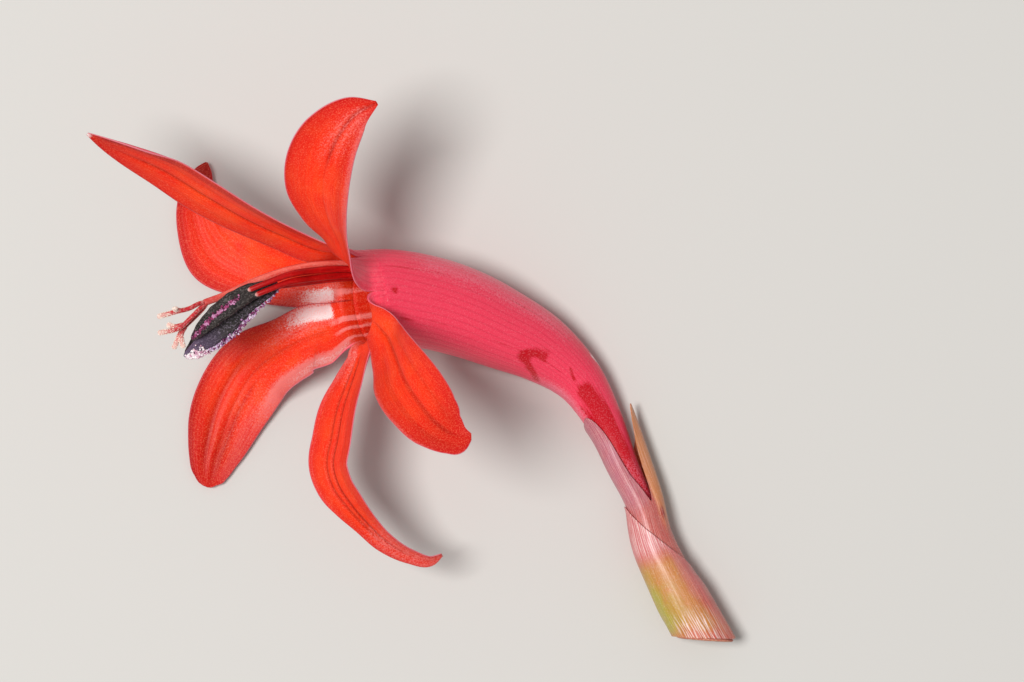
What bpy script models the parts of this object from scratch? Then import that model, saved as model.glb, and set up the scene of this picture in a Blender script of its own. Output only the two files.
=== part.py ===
# A bugle lily flower (Watsonia), as picked, lying on its far side.
#
# Lengths below are in millimetres from the centre of the tube's mouth, which MOUTH places over the
# floor; the scene is in metres. +Z is up and the flower rests on z = 0. The mouth looks to the left
# (-X) and a little upwards, and the tube arches to the right and down to the bracts.

import math

import bmesh
import bpy
import numpy as np

NAME = "bugle_lily_flower"
MM = 0.001
MOUTH = (-5.24, 7.17, 9.975)
GAP = 0.3  # between pieces that touch

# The flower's axis from the mouth to its base, as x, y, z and the tube's outer radius. The tube
# ends over the ovary.
MOUTH_AXIS = (-0.925, -0.10, 0.366)  # the way the mouth faces
MOUTH_RADIUS = 4.7
MOUTH_BEND = 4.0  # how far behind the mouth the axis has turned to its own line
TUBE_WALL = 0.45
RIM = 1.2  # how far behind the mouth the tube ends, where the tepals begin
TEPAL_GAP = 0.5  # between the tube's end and the tepals, some of which bend back towards it
TUBE_LINE = (
    (0.0, 0.0, 0.0, MOUTH_RADIUS),
    (2.3, 0.2, -0.92, 4.62),
    (6.0, -0.2, -2.4, 4.5),
    (10.1, -1.35, -3.95, 4.3),
    (13.4, -2.75, -5.25, 3.98),
    (17.3, -4.7, -6.6, 3.38),
    (21.1, -7.8, -7.45, 2.45),
    (23.5, -11.6, -7.9, 1.85),
    (25.5, -15.9, -7.8, 1.35),
    (27.3, -19.6, -7.6, 1.05),
    (28.4, -23.2, -7.4, 1.0),
    (29.9, -26.6, -7.3, 1.0),
    (31.6, -29.9, -7.25, 1.0),
    (33.4, -33.1, -7.2, 1.0),
)
TUBE_ROWS = 20
TUBE_COLUMNS = 20

# Tepals: where each sits on the rim (degrees from the dorsal one towards the upper near one), how
# many degrees of the rim it takes up on its two sides, and its stations from the rim to the tip. A
# station is the midrib's x, y, z, the way the inner face looks, the widths on the two sides of the
# midrib, and how much the section cups (1/mm).
TEPAL_THICKNESS = 0.4
TEPAL_LIP = 0.45  # how far a tepal has spread outwards where it passes the mouth
LIP_SLOPE = 0.7  # how much the inner face looks out of the mouth there
RIM_SHARE = 0.05  # the share of a tepal's length in which it leaves the round rim
FOLD_SHARE = 0.25  # the share in which it takes on its fold along the midrib
TEPAL_ROWS = 14
TEPAL_COLUMNS = 8
TEPALS = {
    "tepal_dorsal": {
        "turn": 0,
        "spread": (30, 30),
        "fold": 3,
        "stations": (
            (-3.3, 4.5, 1.4, (-0.20, -0.85, 0.45), 2.2, 2.2, 0.12),
            (-7.3, 6.0, 3.0, (-0.30, -0.78, 0.52), 2.4, 2.4, 0.06),
            (-11.0, 7.75, 4.5, (-0.32, -0.75, 0.57), 2.6, 2.7, 0.04),
            (-14.6, 9.85, 5.8, (-0.32, -0.72, 0.60), 2.75, 2.75, 0.04),
            (-18.3, 12.1, 7.0, (-0.32, -0.70, 0.62), 2.5, 2.4, 0.04),
            (-21.9, 13.7, 8.0, (-0.30, -0.70, 0.62), 1.6, 1.7, 0.06),
            (-24.3, 14.8, 8.6, (-0.25, -0.70, 0.64), 0.65, 0.8, 0.08),
            (-25.5, 15.5, 8.9, (-0.20, -0.70, 0.66), 0.15, 0.15, 0.0),
        ),
    },
    "tepal_upper_near": {
        "turn": 60,
        "spread": (30, 23),
        "fold": 8,
        "stations": (
            (-0.8, 3.0, 5.2, (-0.79, -0.48, 0.06), 2.3, 2.35, 0.10),
            (-1.8, 5.2, 7.2, (-0.74, -0.46, 0.35), 2.4, 2.6, 0.06),
            (-2.8, 7.4, 9.1, (-0.66, -0.46, 0.55), 3.0, 3.0, 0.04),
            (-3.3, 9.8, 11.0, (-0.56, -0.46, 0.68), 3.6, 3.3, 0.04),
            (-2.9, 12.6, 12.8, (-0.48, -0.42, 0.77), 3.7, 3.1, 0.04),
            (-1.8, 15.1, 14.1, (-0.42, -0.38, 0.82), 3.1, 2.5, 0.05),
            (-0.1, 17.1, 14.8, (-0.38, -0.34, 0.86), 1.9, 1.6, 0.05),
            (2.0, 18.2, 14.9, (-0.30, -0.20, 0.90), 0.2, 0.2, 0.0),
        ),
    },
    "tepal_lower_near": {
        "turn": 120,
        "spread": (37, 24),
        "fold": 8,
        "stations": (
            (2.75, -3.75, 5.35, (-0.75, 0.40, 0.45), 2.1, 2.3, 0.06),
            (3.4, -5.2, 7.5, (-0.79, 0.30, 0.53), 2.7, 2.9, 0.04),
            (4.4, -7.6, 10.6, (-0.60, 0.42, 0.65), 3.3, 3.15, 0.03),
            (5.9, -9.8, 13.2, (-0.45, 0.50, 0.72), 3.3, 3.1, 0.03),
            (7.6, -11.7, 15.2, (-0.42, 0.42, 0.80), 2.8, 2.7, 0.03),
            (9.2, -12.7, 16.4, (-0.40, 0.30, 0.86), 1.8, 2.0, 0.03),
            (10.1, -12.85, 16.8, (-0.40, 0.27, 0.87), 1.0, 1.7, 0.03),
            (10.8, -12.75, 17.0, (-0.40, 0.25, 0.88), 0.15, 0.5, 0.0),
        ),
    },
    "tepal_ventral": {
        "turn": 180,
        "spread": (36, 22),
        "fold": 10,
        "stations": (
            (0.0, -5.45, 0.7, (-0.60, 0.55, 0.35), 2.2, 1.7, 0.12),
            (-0.8, -7.8, 1.3, (-0.75, 0.32, 0.58), 2.4, 2.1, 0.06),
            (-1.7, -10.7, 1.9, (-0.78, 0.20, 0.60), 3.0, 2.7, 0.04),
            (-2.2, -13.5, 2.2, (-0.77, 0.10, 0.62), 3.2, 2.8, 0.04),
            (-2.6, -15.9, 2.2, (-0.76, 0.02, 0.65), 3.1, 2.7, 0.04),
            (-2.1, -17.8, 2.1, (-0.70, -0.10, 0.68), 2.8, 2.4, 0.05),
            (-0.9, -19.7, 1.8, (-0.62, -0.20, 0.72), 2.3, 1.9, 0.06),
            (0.6, -21.5, 1.2, (-0.55, -0.28, 0.76), 1.7, 1.4, 0.07),
            (2.4, -23.3, 0.5, (-0.45, -0.40, 0.78), 1.4, 1.2, 0.08),
            (4.8, -24.7, -0.3, (-0.25, -0.55, 0.76), 1.0, 0.9, 0.08),
            (6.8, -25.2, -0.6, (0.00, -0.65, 0.70), 0.7, 0.6, 0.06),
            (7.9, -24.6, -0.6, (0.30, -0.70, 0.60), 0.2, 0.2, 0.0),
        ),
    },
    "tepal_lower_far": {
        "turn": 240,
        "spread": (38, 30),
        "fold": 4,
        "stations": (
            (-2.8, -2.9, -4.1, (-0.10, 0.40, 0.90), 3.9, 2.3, 0.08),
            (-4.6, -3.4, -5.4, (0.0, 0.33, 0.94), 4.1, 2.6, 0.07),
            (-7.3, -4.65, -7.1, (0.05, 0.28, 0.96), 3.9, 3.0, 0.05),
            (-10.2, -6.7, -8.5, (0.05, 0.20, 0.97), 3.9, 3.9, 0.03),
            (-12.4, -10.0, -9.3, (0.02, 0.12, 0.99), 3.7, 4.0, 0.03),
            (-13.8, -13.6, -9.5, (0.0, 0.0, 1.0), 2.9, 3.4, 0.03),
            (-14.5, -15.8, -9.4, (0.0, -0.08, 1.0), 2.2, 2.5, 0.03),
            (-14.8, -17.3, -9.3, (0.0, -0.12, 0.99), 1.5, 1.7, 0.03),
            (-14.9, -18.0, -9.2, (0.0, -0.15, 0.98), 0.9, 0.95, 0.02),
            (-14.9, -18.3, -9.15, (0.0, -0.15, 0.98), 0.25, 0.25, 0.0),
        ),
    },
    "tepal_upper_far": {
        "turn": 300,
        "spread": (30, 30),
        "fold": 4,
        "stations": (
            (-2.8, 2.2, -4.1, (0.25, -0.40, 0.88), 2.3, 2.2, 0.14),
            (-4.6, 2.2, -5.4, (0.0, -0.28, 0.94), 2.7, 2.4, 0.09),
            (-7.4, 2.7, -7.0, (-0.12, -0.15, 0.97), 3.4, 2.8, 0.05),
            (-10.2, 3.8, -8.3, (-0.12, -0.05, 0.99), 4.0, 3.0, 0.03),
            (-12.8, 5.7, -9.1, (-0.05, 0.0, 1.0), 5.0, 2.9, 0.03),
            (-14.6, 8.3, -9.5, (0.0, 0.0, 1.0), 3.8, 2.0, 0.03),
            (-15.3, 11.2, -9.3, (0.0, 0.05, 0.99), 2.3, 0.8, 0.03),
            (-15.3, 12.8, -9.0, (0.0, 0.10, 0.98), 0.9, 0.5, 0.03),
            (-15.2, 13.4, -8.9, (0.0, 0.10, 0.98), 0.12, 0.12, 0.0),
        ),
    },
}

# The style runs from the ovary through the tube and out under the dorsal tepal
STYLE_RADIUS = 0.3
STYLE_SPACING = 2.0  # between the points of its curve
STYLE_LINE = (
    (29.7, -26.2, -7.3),
    (28.4, -23.2, -7.4),
    (27.3, -19.6, -7.6),
    (25.5, -15.9, -7.8),
    (23.5, -11.6, -7.9),
    (21.1, -7.7, -7.4),
    (17.3, -4.0, -6.5),
    (13.4, -1.3, -5.2),
    (9.0, 1.1, -3.6),
    (4.0, 2.9, -1.5),
    (-1.4, 3.4, 0.7),
    (-5.8, 3.0, 2.7),
    (-9.6, 1.8, 4.2),
    (-13.0, 0.2, 5.5),
    (-14.6, -0.4, 6.1),
)
BRANCH_RADIUS = 0.17
ARM_RADIUS = 0.15
BRANCH_SPACING = 0.7
BRANCHES = {
    "style_branch_1": (
        ((-15.0, -0.35, 6.45), (-16.0, -0.95, 6.9), (-17.2, -1.25, 7.2), (-19.0, -1.75, 7.4)),
        ((-16.8, -1.15, 7.1), (-17.2, -1.05, 7.5), (-17.3, -0.9, 8.2)),
    ),
    "style_branch_2": (
        ((-15.0, -0.85, 6.1), (-15.7, -1.65, 6.3), (-16.9, -2.75, 6.4), (-19.0, -3.3, 6.5)),
        ((-16.6, -2.55, 6.4), (-17.5, -2.65, 5.8), (-18.2, -2.45, 5.2)),
    ),
    "style_branch_3": (
        ((-14.75, -0.95, 5.65), (-15.6, -1.8, 5.5), (-16.6, -2.8, 5.3), (-17.6, -4.8, 5.2)),
        ((-16.5, -2.7, 5.3), (-16.8, -3.4, 5.6), (-16.6, -4.7, 5.9)),
    ),
}

# Three stamens on the upper side of the mouth: each filament's line from the tube's wall to its
# anther, and each anther's line from its upper to its lower end
FILAMENT_RADIUS = 0.3
FILAMENT_SPACING = 1.6
FILAMENTS = {
    "filament_1": (
        (11.5, -1.8, -1.3), (7.5, 0.2, 0.2), (3.6, 1.9, 0.9), (0.0, 2.75, 1.9),
        (-4.4, 2.65, 4.6), (-7.0, 2.1, 7.2), (-8.8, 1.4, 7.95), (-10.4, 0.75, 8.05),
    ),
    "filament_2": (
        (11.6, 1.3, -4.3), (8.0, 1.9, -2.3), (3.6, 2.3, -0.3), (0.0, 2.3, 1.15),
        (-4.4, 1.9, 4.3), (-7.0, 1.35, 7.15), (-8.6, 0.7, 7.95), (-9.7, 0.25, 8.05),
    ),
    "filament_3": (
        (11.5, -1.6, -7.6), (7.5, 0.4, -4.6), (3.6, 1.7, -1.9), (0.0, 2.05, -0.3),
        (-5.8, 1.5, 1.9), (-9.4, 0.95, 2.7), (-11.6, 0.4, 2.9),
    ),
}
ANTHER_HALF_WIDTH = 0.95
ANTHER_HALF_DEPTH = 0.6
ANTHER_GROOVE = 0.25
ANTHER_ENDS = 0.55  # 1 gives a long body pointed ends, less gives it blunter ones
ANTHERS = {
    "anther_1": ((-7.6, 1.5, 6.7), (-10.8, 0.3, 6.9), (-13.6, -1.7, 6.8), (-15.8, -3.9, 6.5)),
    "anther_2": ((-7.5, 1.2, 5.2), (-10.4, -0.4, 5.3), (-13.1, -3.0, 5.2), (-16.6, -5.5, 4.9)),
    "anther_3": ((-8.0, 0.7, 3.4), (-11.0, -0.5, 3.4), (-14.0, -2.8, 3.3), (-16.6, -5.3, 3.1)),
}

# On the base stand the receptacle, the ovary over it and two bracts rolled round them. Heights are
# along the axis from the base, and angles go round it: 0 looks up, 90 to the stem, 180 to the floor.
BASE_SLANT = 0.66  # the tangent of the angle at which the base sat on the spike's side
SLANT_HEIGHT = 6.0  # where the slant has faded
RECEPTACLE_RADIUS = 2.42
RECEPTACLE_HEIGHT = 1.0
RECEPTACLE_ENDS = 0.25
OVARY_RADIUS = 1.4
OVARY_HEIGHT = 1.8  # of its lower end
OVARY_LENGTH = 4.5
OVARY_ENDS = 0.55
BRACT_THICKNESS = 0.22
FLARE_START = 10.0
FLARE_LENGTH = 12.0
BRACT_ROWS = 10
BRACT_COLUMNS = 24
BRACTS = {
    "inner_bract": {
        # height and inner radius
        "bore": ((1.3, 1.72), (4.0, 1.72), (7.0, 1.55), (11.0, 1.4), (15.0, 1.3), (19.0, 1.55),
                 (21.5, 1.72), (23.7, 1.98), (26.0, 2.2)),
        # angle and how high the top edge stands there
        "edge": ((0, 17.6), (15, 16.0), (38, 14.7), (48, 15.9), (60, 20.0), (72, 22.7), (95, 23.7),
                 (125, 20.5), (180, 18.5), (225, 20.5), (265, 23.0), (300, 24.3), (322, 24.7),
                 (335, 23.8), (347, 21.6), (360, 17.6)),
        "tip_angle": 95,
        "tip_flare": 0.95,
    },
    "outer_bract": {
        "bore": ((1.3, 2.2), (4.0, 2.2), (7.0, 2.08), (11.0, 1.98), (13.0, 1.88), (15.0, 1.72),
                 (17.0, 1.8)),
        "edge": ((0, 11.5), (50, 8.5), (90, 7.0), (140, 8.0), (200, 11.5), (260, 14.9), (275, 15.0),
                 (310, 13.8), (360, 11.5)),
        "tip_angle": 268,
        "tip_flare": 0.0,
    },
}

# Colour, roughness
MATERIALS = {
    "tube": ((0.80, 0.10, 0.14), 0.45),
    "tepal": ((0.85, 0.10, 0.03), 0.5),
    "style": ((0.85, 0.30, 0.28), 0.45),
    "branch": ((0.75, 0.25, 0.22), 0.45),
    "filament": ((0.70, 0.03, 0.04), 0.4),
    "anther": ((0.03, 0.03, 0.04), 0.6),
    "bract": ((0.75, 0.42, 0.22), 0.45),
    "ovary": ((0.40, 0.45, 0.12), 0.5),
    "receptacle": ((0.62, 0.50, 0.35), 0.6),
}


def unit(vector):
    return vector / np.linalg.norm(vector, axis=-1, keepdims=True)


def blend(a, b, share):
    return a + (b - a) * share


def ease(x):
    x = min(max(x, 0.0), 1.0)
    return x * x * (3 - 2 * x)


class Curve:
    """A smooth curve through rows of numbers, read at a place between the first row's and the last's."""

    def __init__(self, places, rows):
        self.places = np.array(places, float)
        self.rows = np.array(rows, float).reshape(len(places), -1)
        steps = np.diff(self.places)[:, None]
        slopes = np.diff(self.rows, axis=0) / steps
        inner = (slopes[:-1] * steps[1:] + slopes[1:] * steps[:-1]) / (steps[:-1] + steps[1:])
        self.slopes = np.vstack([slopes[:1], inner, slopes[-1:]])

    def at(self, place):
        place = min(max(place, self.places[0]), self.places[-1])
        i = min(np.searchsorted(self.places, place, side="right"), len(self.places) - 1) - 1
        i = max(i, 0)
        span = self.places[i + 1] - self.places[i]
        t = (place - self.places[i]) / span
        start, end = self.rows[i], self.rows[i + 1]
        leave, arrive = self.slopes[i] * span, self.slopes[i + 1] * span
        return (
            start * (1 + 2 * t) * (1 - t) ** 2
            + leave * t * (1 - t) ** 2
            + end * t * t * (3 - 2 * t)
            + arrive * t * t * (t - 1)
        )

    def way(self, place):
        """The direction in which the curve's first three numbers run."""
        step = 1e-3 * (self.places[-1] - self.places[0])
        return unit(self.at(place + step)[:3] - self.at(place - step)[:3])


def distances(points):
    """How far along the line through these points each one lies."""
    points = np.array(points, float)[:, :3]
    steps = np.linalg.norm(np.diff(points, axis=0), axis=1)
    return np.concatenate([[0.0], np.cumsum(steps)])


def route(points):
    return Curve(distances(points), points)


# The axis, read by the distance from the mouth
AXIS = route(TUBE_LINE)
AXIS_LENGTH = AXIS.places[-1]
TUBE_LENGTH = AXIS_LENGTH - OVARY_HEIGHT - OVARY_LENGTH - GAP


def axis_frame(place):
    """The axis's point, the way it runs, and the two directions across it: up, and to angle 90."""
    along = AXIS.way(place)
    mouth = -unit(np.array(MOUTH_AXIS))
    along = unit(blend(mouth, along, ease(place / MOUTH_BEND)))
    up = np.array([0.0, 0.0, 1.0])
    up = unit(up - up.dot(along) * along)
    return AXIS.at(place)[:3], along, up, np.cross(up, along)


def round_axis(place, angle, radius):
    centre, _, up, side = axis_frame(place)
    return centre + radius * (math.cos(angle) * up + math.sin(angle) * side)


def tube_point(u, v):
    place = blend(RIM, TUBE_LENGTH, u)
    return round_axis(place, -math.pi * v, AXIS.at(place)[3])


def tepal_surface(tepal):
    """A function of u, from the rim to the tip, and v, across, that gives a point of the inner face."""
    centre, along, up, side = axis_frame(0.0)
    turn = math.radians(tepal["turn"])
    outward = math.cos(turn) * side + math.sin(turn) * up
    inner_radius = MOUTH_RADIUS - TEPAL_THICKNESS
    angles = [math.radians(side) - GAP / 2 / inner_radius for side in tepal["spread"]]
    widths = [inner_radius * angle for angle in angles]
    rim = centre + along * (RIM - TEPAL_GAP) + outward * inner_radius
    lip = centre + outward * (inner_radius + TEPAL_LIP)
    stations = [
        (*rim, *-outward, *widths, 1 / inner_radius),
        (*lip, *unit(-outward - LIP_SLOPE * along), *widths, 1 / inner_radius),
    ]
    for x, y, z, face, left, right, cup in tepal["stations"]:
        stations.append((x, y, z, *face, left, right, cup))
    places = distances(stations)
    curve = Curve(places / places[-1], stations)
    fold = math.tan(math.radians(tepal["fold"]))

    def point(u, v):
        row = curve.at(u)
        way = curve.way(u)
        face = row[3:6] - row[3:6].dot(way) * way
        face = unit(face)
        across = np.cross(way, face)
        width = row[6] if v < 0 else row[7]
        cup = max(abs(row[8]), 1e-4)
        reach = v * width
        rise = (1 - math.cos(cup * reach)) / cup + fold * ease(u / FOLD_SHARE) * abs(reach)
        free = row[:3] + across * math.sin(cup * reach) / cup + face * rise
        angle = turn + v * (angles[0] if v < 0 else angles[1])
        at_rim = centre + along * (RIM - TEPAL_GAP - u * places[-1])
        at_rim = at_rim + inner_radius * (math.cos(angle) * side + math.sin(angle) * up)
        return blend(at_rim, free, ease(u / RIM_SHARE))

    return point


def bract_surface(bract):
    bore = Curve(*zip(*bract["bore"]))
    edge = Curve(*zip(*bract["edge"]))
    start = RECEPTACLE_HEIGHT + GAP
    tip = math.radians(bract["tip_angle"])

    def point(u, v):
        angle = math.pi * (1 - v)
        reach = edge.at(math.degrees(angle))[0]
        height = blend(start, reach, u)
        near_tip = max(0.0, math.cos(angle - tip)) ** 4
        flare = bract["tip_flare"] * near_tip * ease((height - FLARE_START) / FLARE_LENGTH)
        radius = bore.at(height)[0] + BRACT_THICKNESS + flare
        lower = BASE_SLANT * math.sin(angle) * radius * (1 - ease(height / SLANT_HEIGHT))
        place = AXIS_LENGTH - height
        return round_axis(place, angle, radius) + lower * axis_frame(place)[1]

    return point


def to_scene(point):
    return [(p + q) * MM for p, q in zip(point, MOUTH)]


def add(name, data, material, collection):
    obj = bpy.data.objects.new(name, data)
    obj.data.materials.append(material)
    collection.objects.link(obj)
    return obj


def sheet(name, surface, rows, columns, thickness, material, collection):
    """A sheet bent to surface(u, v), thickened away from the side that its faces look to."""
    mesh = bpy.data.meshes.new(name)
    bm = bmesh.new()
    bmesh.ops.create_grid(bm, x_segments=columns, y_segments=rows, size=1)
    for vert in bm.verts:
        vert.co = to_scene(surface((vert.co.y + 1) / 2, vert.co.x))
    bmesh.ops.remove_doubles(bm, verts=bm.verts, dist=1e-6)
    bm.to_mesh(mesh)
    bm.free()
    mesh.shade_smooth()
    obj = add(name, mesh, material, collection)
    solid = obj.modifiers.new("thickness", "SOLIDIFY")
    solid.thickness = thickness * MM
    solid.offset = -1
    return obj


def spindle(name, points, half_width, half_depth, groove, ends, material, collection):
    """A round body on the line through points, with a groove along each side. Its ends are pointed
    where ends is 1, and flatter the less it is."""
    line = route(points)
    mesh = bpy.data.meshes.new(name)
    bm = bmesh.new()
    bmesh.ops.create_uvsphere(bm, u_segments=12, v_segments=12, radius=1)
    for vert in bm.verts:
        turned = math.acos(max(-1.0, min(1.0, -vert.co.z))) / math.pi
        spot = line.places[-1] * turned
        way = line.way(spot)
        up = np.array([0.0, 0.0, 1.0])
        up = unit(up - up.dot(way) * way)
        angle = math.atan2(vert.co.y, vert.co.x)
        size = max(0.0, math.sin(math.pi * turned)) ** ends
        size *= 1 - groove * math.cos(angle) ** 8
        across = math.cos(angle) * half_width * np.cross(up, way)
        depth = math.sin(angle) * half_depth * up
        vert.co = to_scene(line.at(spot)[:3] + size * (across + depth))
    bm.to_mesh(mesh)
    bm.free()
    mesh.shade_smooth()
    return add(name, mesh, material, collection)


def thread(name, points, radius, spacing, material, collection):
    """A round thread of even thickness on a smooth line through points."""
    line = route(points)
    count = max(3, round(line.places[-1] / spacing))
    curve = bpy.data.curves.new(name, "CURVE")
    curve.dimensions = "3D"
    curve.bevel_depth = radius * MM
    curve.bevel_resolution = 2
    curve.use_fill_caps = True
    spline = curve.splines.new("POLY")
    spline.points.add(count)
    for i, spot in enumerate(np.linspace(0, line.places[-1], count + 1)):
        spline.points[i].co = (*to_scene(line.at(spot)[:3]), 1)
    spline.use_smooth = True
    return add(name, curve, material, collection)


def solid_mesh(obj):
    """Replaces a curve object by a closed mesh object of the same name."""
    graph = bpy.context.evaluated_depsgraph_get()
    mesh = bpy.data.meshes.new_from_object(obj.evaluated_get(graph))
    bm = bmesh.new()
    bm.from_mesh(mesh)
    bmesh.ops.remove_doubles(bm, verts=bm.verts, dist=1e-6)
    bm.to_mesh(mesh)
    bm.free()
    name, collection = obj.name, obj.users_collection[0]
    bpy.data.objects.remove(obj)
    solid = bpy.data.objects.new(name, mesh)
    collection.objects.link(solid)
    return solid


def make_materials():
    made = {}
    for name, (colour, roughness) in MATERIALS.items():
        material = bpy.data.materials.new(name)
        material.use_nodes = True
        shader = material.node_tree.nodes["Principled BSDF"]
        shader.inputs["Base Color"].default_value = (*colour, 1)
        shader.inputs["Roughness"].default_value = roughness
        shader.inputs["Metallic"].default_value = 0
        made[name] = material
    return made


def make_collection(name, hidden=False):
    collection = bpy.data.collections.new(name)
    bpy.context.scene.collection.children.link(collection)
    collection.hide_render = hidden
    return collection


def build_perianth(parts, materials):
    sheet("perianth_tube", tube_point, TUBE_ROWS, TUBE_COLUMNS, TUBE_WALL, materials["tube"], parts)
    for name, tepal in TEPALS.items():
        surface = tepal_surface(tepal)
        sheet(name, surface, TEPAL_ROWS, TEPAL_COLUMNS, TEPAL_THICKNESS, materials["tepal"], parts)


def build_style(parts, cutters, materials):
    thread("style", STYLE_LINE, STYLE_RADIUS, STYLE_SPACING, materials["style"], parts)
    for name, (stem, arm) in BRANCHES.items():
        branch = thread(name, stem, BRANCH_RADIUS, BRANCH_SPACING, materials["branch"], parts)
        branch = solid_mesh(branch)
        fork = thread(name + "_arm", arm, ARM_RADIUS, BRANCH_SPACING, materials["branch"], cutters)
        fork = solid_mesh(fork)
        fork.hide_render = True
        fork.display_type = "WIRE"
        join = branch.modifiers.new("fork", "BOOLEAN")
        join.operation = "UNION"
        join.object = fork


def build_stamens(parts, materials):
    for name, points in FILAMENTS.items():
        thread(name, points, FILAMENT_RADIUS, FILAMENT_SPACING, materials["filament"], parts)
    for name, points in ANTHERS.items():
        size = (ANTHER_HALF_WIDTH, ANTHER_HALF_DEPTH, ANTHER_GROOVE, ANTHER_ENDS)
        spindle(name, points, *size, materials["anther"], parts)


def build_base(parts, materials):
    for name, bract in BRACTS.items():
        surface = bract_surface(bract)
        sheet(name, surface, BRACT_ROWS, BRACT_COLUMNS, BRACT_THICKNESS, materials["bract"], parts)
    ovary_end = AXIS_LENGTH - OVARY_HEIGHT
    ovary = [AXIS.at(ovary_end - OVARY_LENGTH * share)[:3] for share in (0, 0.35, 0.7, 1)]
    spindle("ovary", ovary, OVARY_RADIUS, OVARY_RADIUS, 0.0, OVARY_ENDS, materials["ovary"], parts)
    middle, along, _, side = axis_frame(AXIS_LENGTH - RECEPTACLE_HEIGHT / 2)
    tilt = math.atan(BASE_SLANT)
    across = math.cos(tilt) * along - math.sin(tilt) * side
    disc = [middle + across * RECEPTACLE_HEIGHT * math.cos(tilt) * share for share in (-0.5, 0, 0.5)]
    width, depth = RECEPTACLE_RADIUS / math.cos(tilt), RECEPTACLE_RADIUS
    spindle("receptacle", disc, width, depth, 0.0, RECEPTACLE_ENDS, materials["receptacle"], parts)


def build():
    for obj in list(bpy.data.objects):
        bpy.data.objects.remove(obj)
    materials = make_materials()
    parts = make_collection(NAME)
    cutters = make_collection("cutters", hidden=True)
    build_perianth(parts, materials)
    build_style(parts, cutters, materials)
    build_stamens(parts, materials)
    build_base(parts, materials)


build()
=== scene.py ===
# A bugle lily flower (Watsonia), as picked, lying on its far side
import math
import random
from functools import cache, partial

import bmesh
import bpy
import numpy as np
from mathutils import Matrix, Vector


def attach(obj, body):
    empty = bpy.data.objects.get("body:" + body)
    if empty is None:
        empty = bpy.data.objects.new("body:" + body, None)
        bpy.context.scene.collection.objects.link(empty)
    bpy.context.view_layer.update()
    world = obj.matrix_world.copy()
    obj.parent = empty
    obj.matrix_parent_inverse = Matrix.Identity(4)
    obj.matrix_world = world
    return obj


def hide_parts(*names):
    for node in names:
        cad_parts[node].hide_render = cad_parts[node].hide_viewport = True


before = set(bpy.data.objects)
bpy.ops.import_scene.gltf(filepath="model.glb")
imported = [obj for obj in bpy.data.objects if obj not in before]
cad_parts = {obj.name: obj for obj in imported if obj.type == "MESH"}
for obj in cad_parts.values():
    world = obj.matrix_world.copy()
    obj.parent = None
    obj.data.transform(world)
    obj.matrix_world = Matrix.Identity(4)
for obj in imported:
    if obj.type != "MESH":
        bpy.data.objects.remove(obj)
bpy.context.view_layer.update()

# Lengths are millimetres from the centre of the tube's mouth, as in the part's own source:
# +Z is up, the mouth looks to the left (-X) and the tube arches to the right and down to the bracts.
mm = 0.001
skyward = np.array([0.0, 0.0, 1.0])
mouthPlace = (-5.24, 7.17, 9.975)
mergeDistance = 1e-6
detail = 1.0  # how fine the meshes are

flowerAxis = {
    "mouthWay": (-0.925, -0.1, 0.366),
    "mouthRadius": 4.7,
    "mouthBend": 4.0,  # how far behind the mouth the axis has turned to its own line
    "line": (  # x, y, z and the tube's outer radius
        (0.0, 0.0, 0.0, 4.7), (2.3, 0.2, -0.92, 4.62), (6.0, -0.2, -2.4, 4.5),
        (10.1, -1.35, -3.95, 4.3), (13.4, -2.75, -5.25, 3.98), (17.3, -4.7, -6.6, 3.38),
        (21.1, -7.8, -7.45, 2.45), (23.5, -11.6, -7.9, 1.85), (25.5, -15.9, -7.8, 1.35),
        (27.3, -19.6, -7.6, 1.05), (28.4, -23.2, -7.4, 1.0), (29.9, -26.6, -7.3, 1.0),
        (31.6, -29.9, -7.25, 1.0), (33.4, -33.1, -7.2, 1.0),
    ),
}


def unit(vector):
    return vector / np.linalg.norm(vector, axis=-1, keepdims=True)


def squared(vector, way):
    # The direction nearest to the vector that is square to the way
    return unit(vector - vector.dot(way) * way)


def mix(a, b, share):
    return a + (b - a) * share


def ease(x):
    x = np.clip(x, 0.0, 1.0)
    return x * x * (3 - 2 * x)


def bell(x):
    return np.exp(-np.square(x))


class SmoothCurve:
    # A smooth curve through rows of numbers, read at a place between the first and the last row's

    def __init__(self, places, rows):
        self.places = np.array(places, float)
        self.rows = np.array(rows, float).reshape(len(places), -1)
        steps = np.diff(self.places)[:, None]
        slopes = np.diff(self.rows, axis=0) / steps
        inner = (slopes[:-1] * steps[1:] + slopes[1:] * steps[:-1]) / (steps[:-1] + steps[1:])
        self.slopes = np.vstack([slopes[:1], inner, slopes[-1:]])
        self.length = self.places[-1] - self.places[0]

    @cache
    def at(self, place):
        place = min(max(place, self.places[0]), self.places[-1])
        i = min(np.searchsorted(self.places, place, side="right"), len(self.places) - 1) - 1
        i = max(i, 0)
        span = self.places[i + 1] - self.places[i]
        t = (place - self.places[i]) / span
        start, end = self.rows[i], self.rows[i + 1]
        leave, arrive = self.slopes[i] * span, self.slopes[i + 1] * span
        return (
            start * (1 + 2 * t) * (1 - t) ** 2
            + leave * t * (1 - t) ** 2
            + end * t * t * (3 - 2 * t)
            + arrive * t * t * (t - 1)
        )

    @cache
    def way(self, place):
        step = 1e-3 * self.length
        return unit(self.at(place + step)[:3] - self.at(place - step)[:3])


def distances(points):
    points = np.array(points, float)[:, :3]
    steps = np.linalg.norm(np.diff(points, axis=0), axis=1)
    return np.concatenate([[0.0], np.cumsum(steps)])


def route(points):
    return SmoothCurve(distances(points), points)


axisLine = route(flowerAxis["line"])
axisLength = axisLine.length


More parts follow.
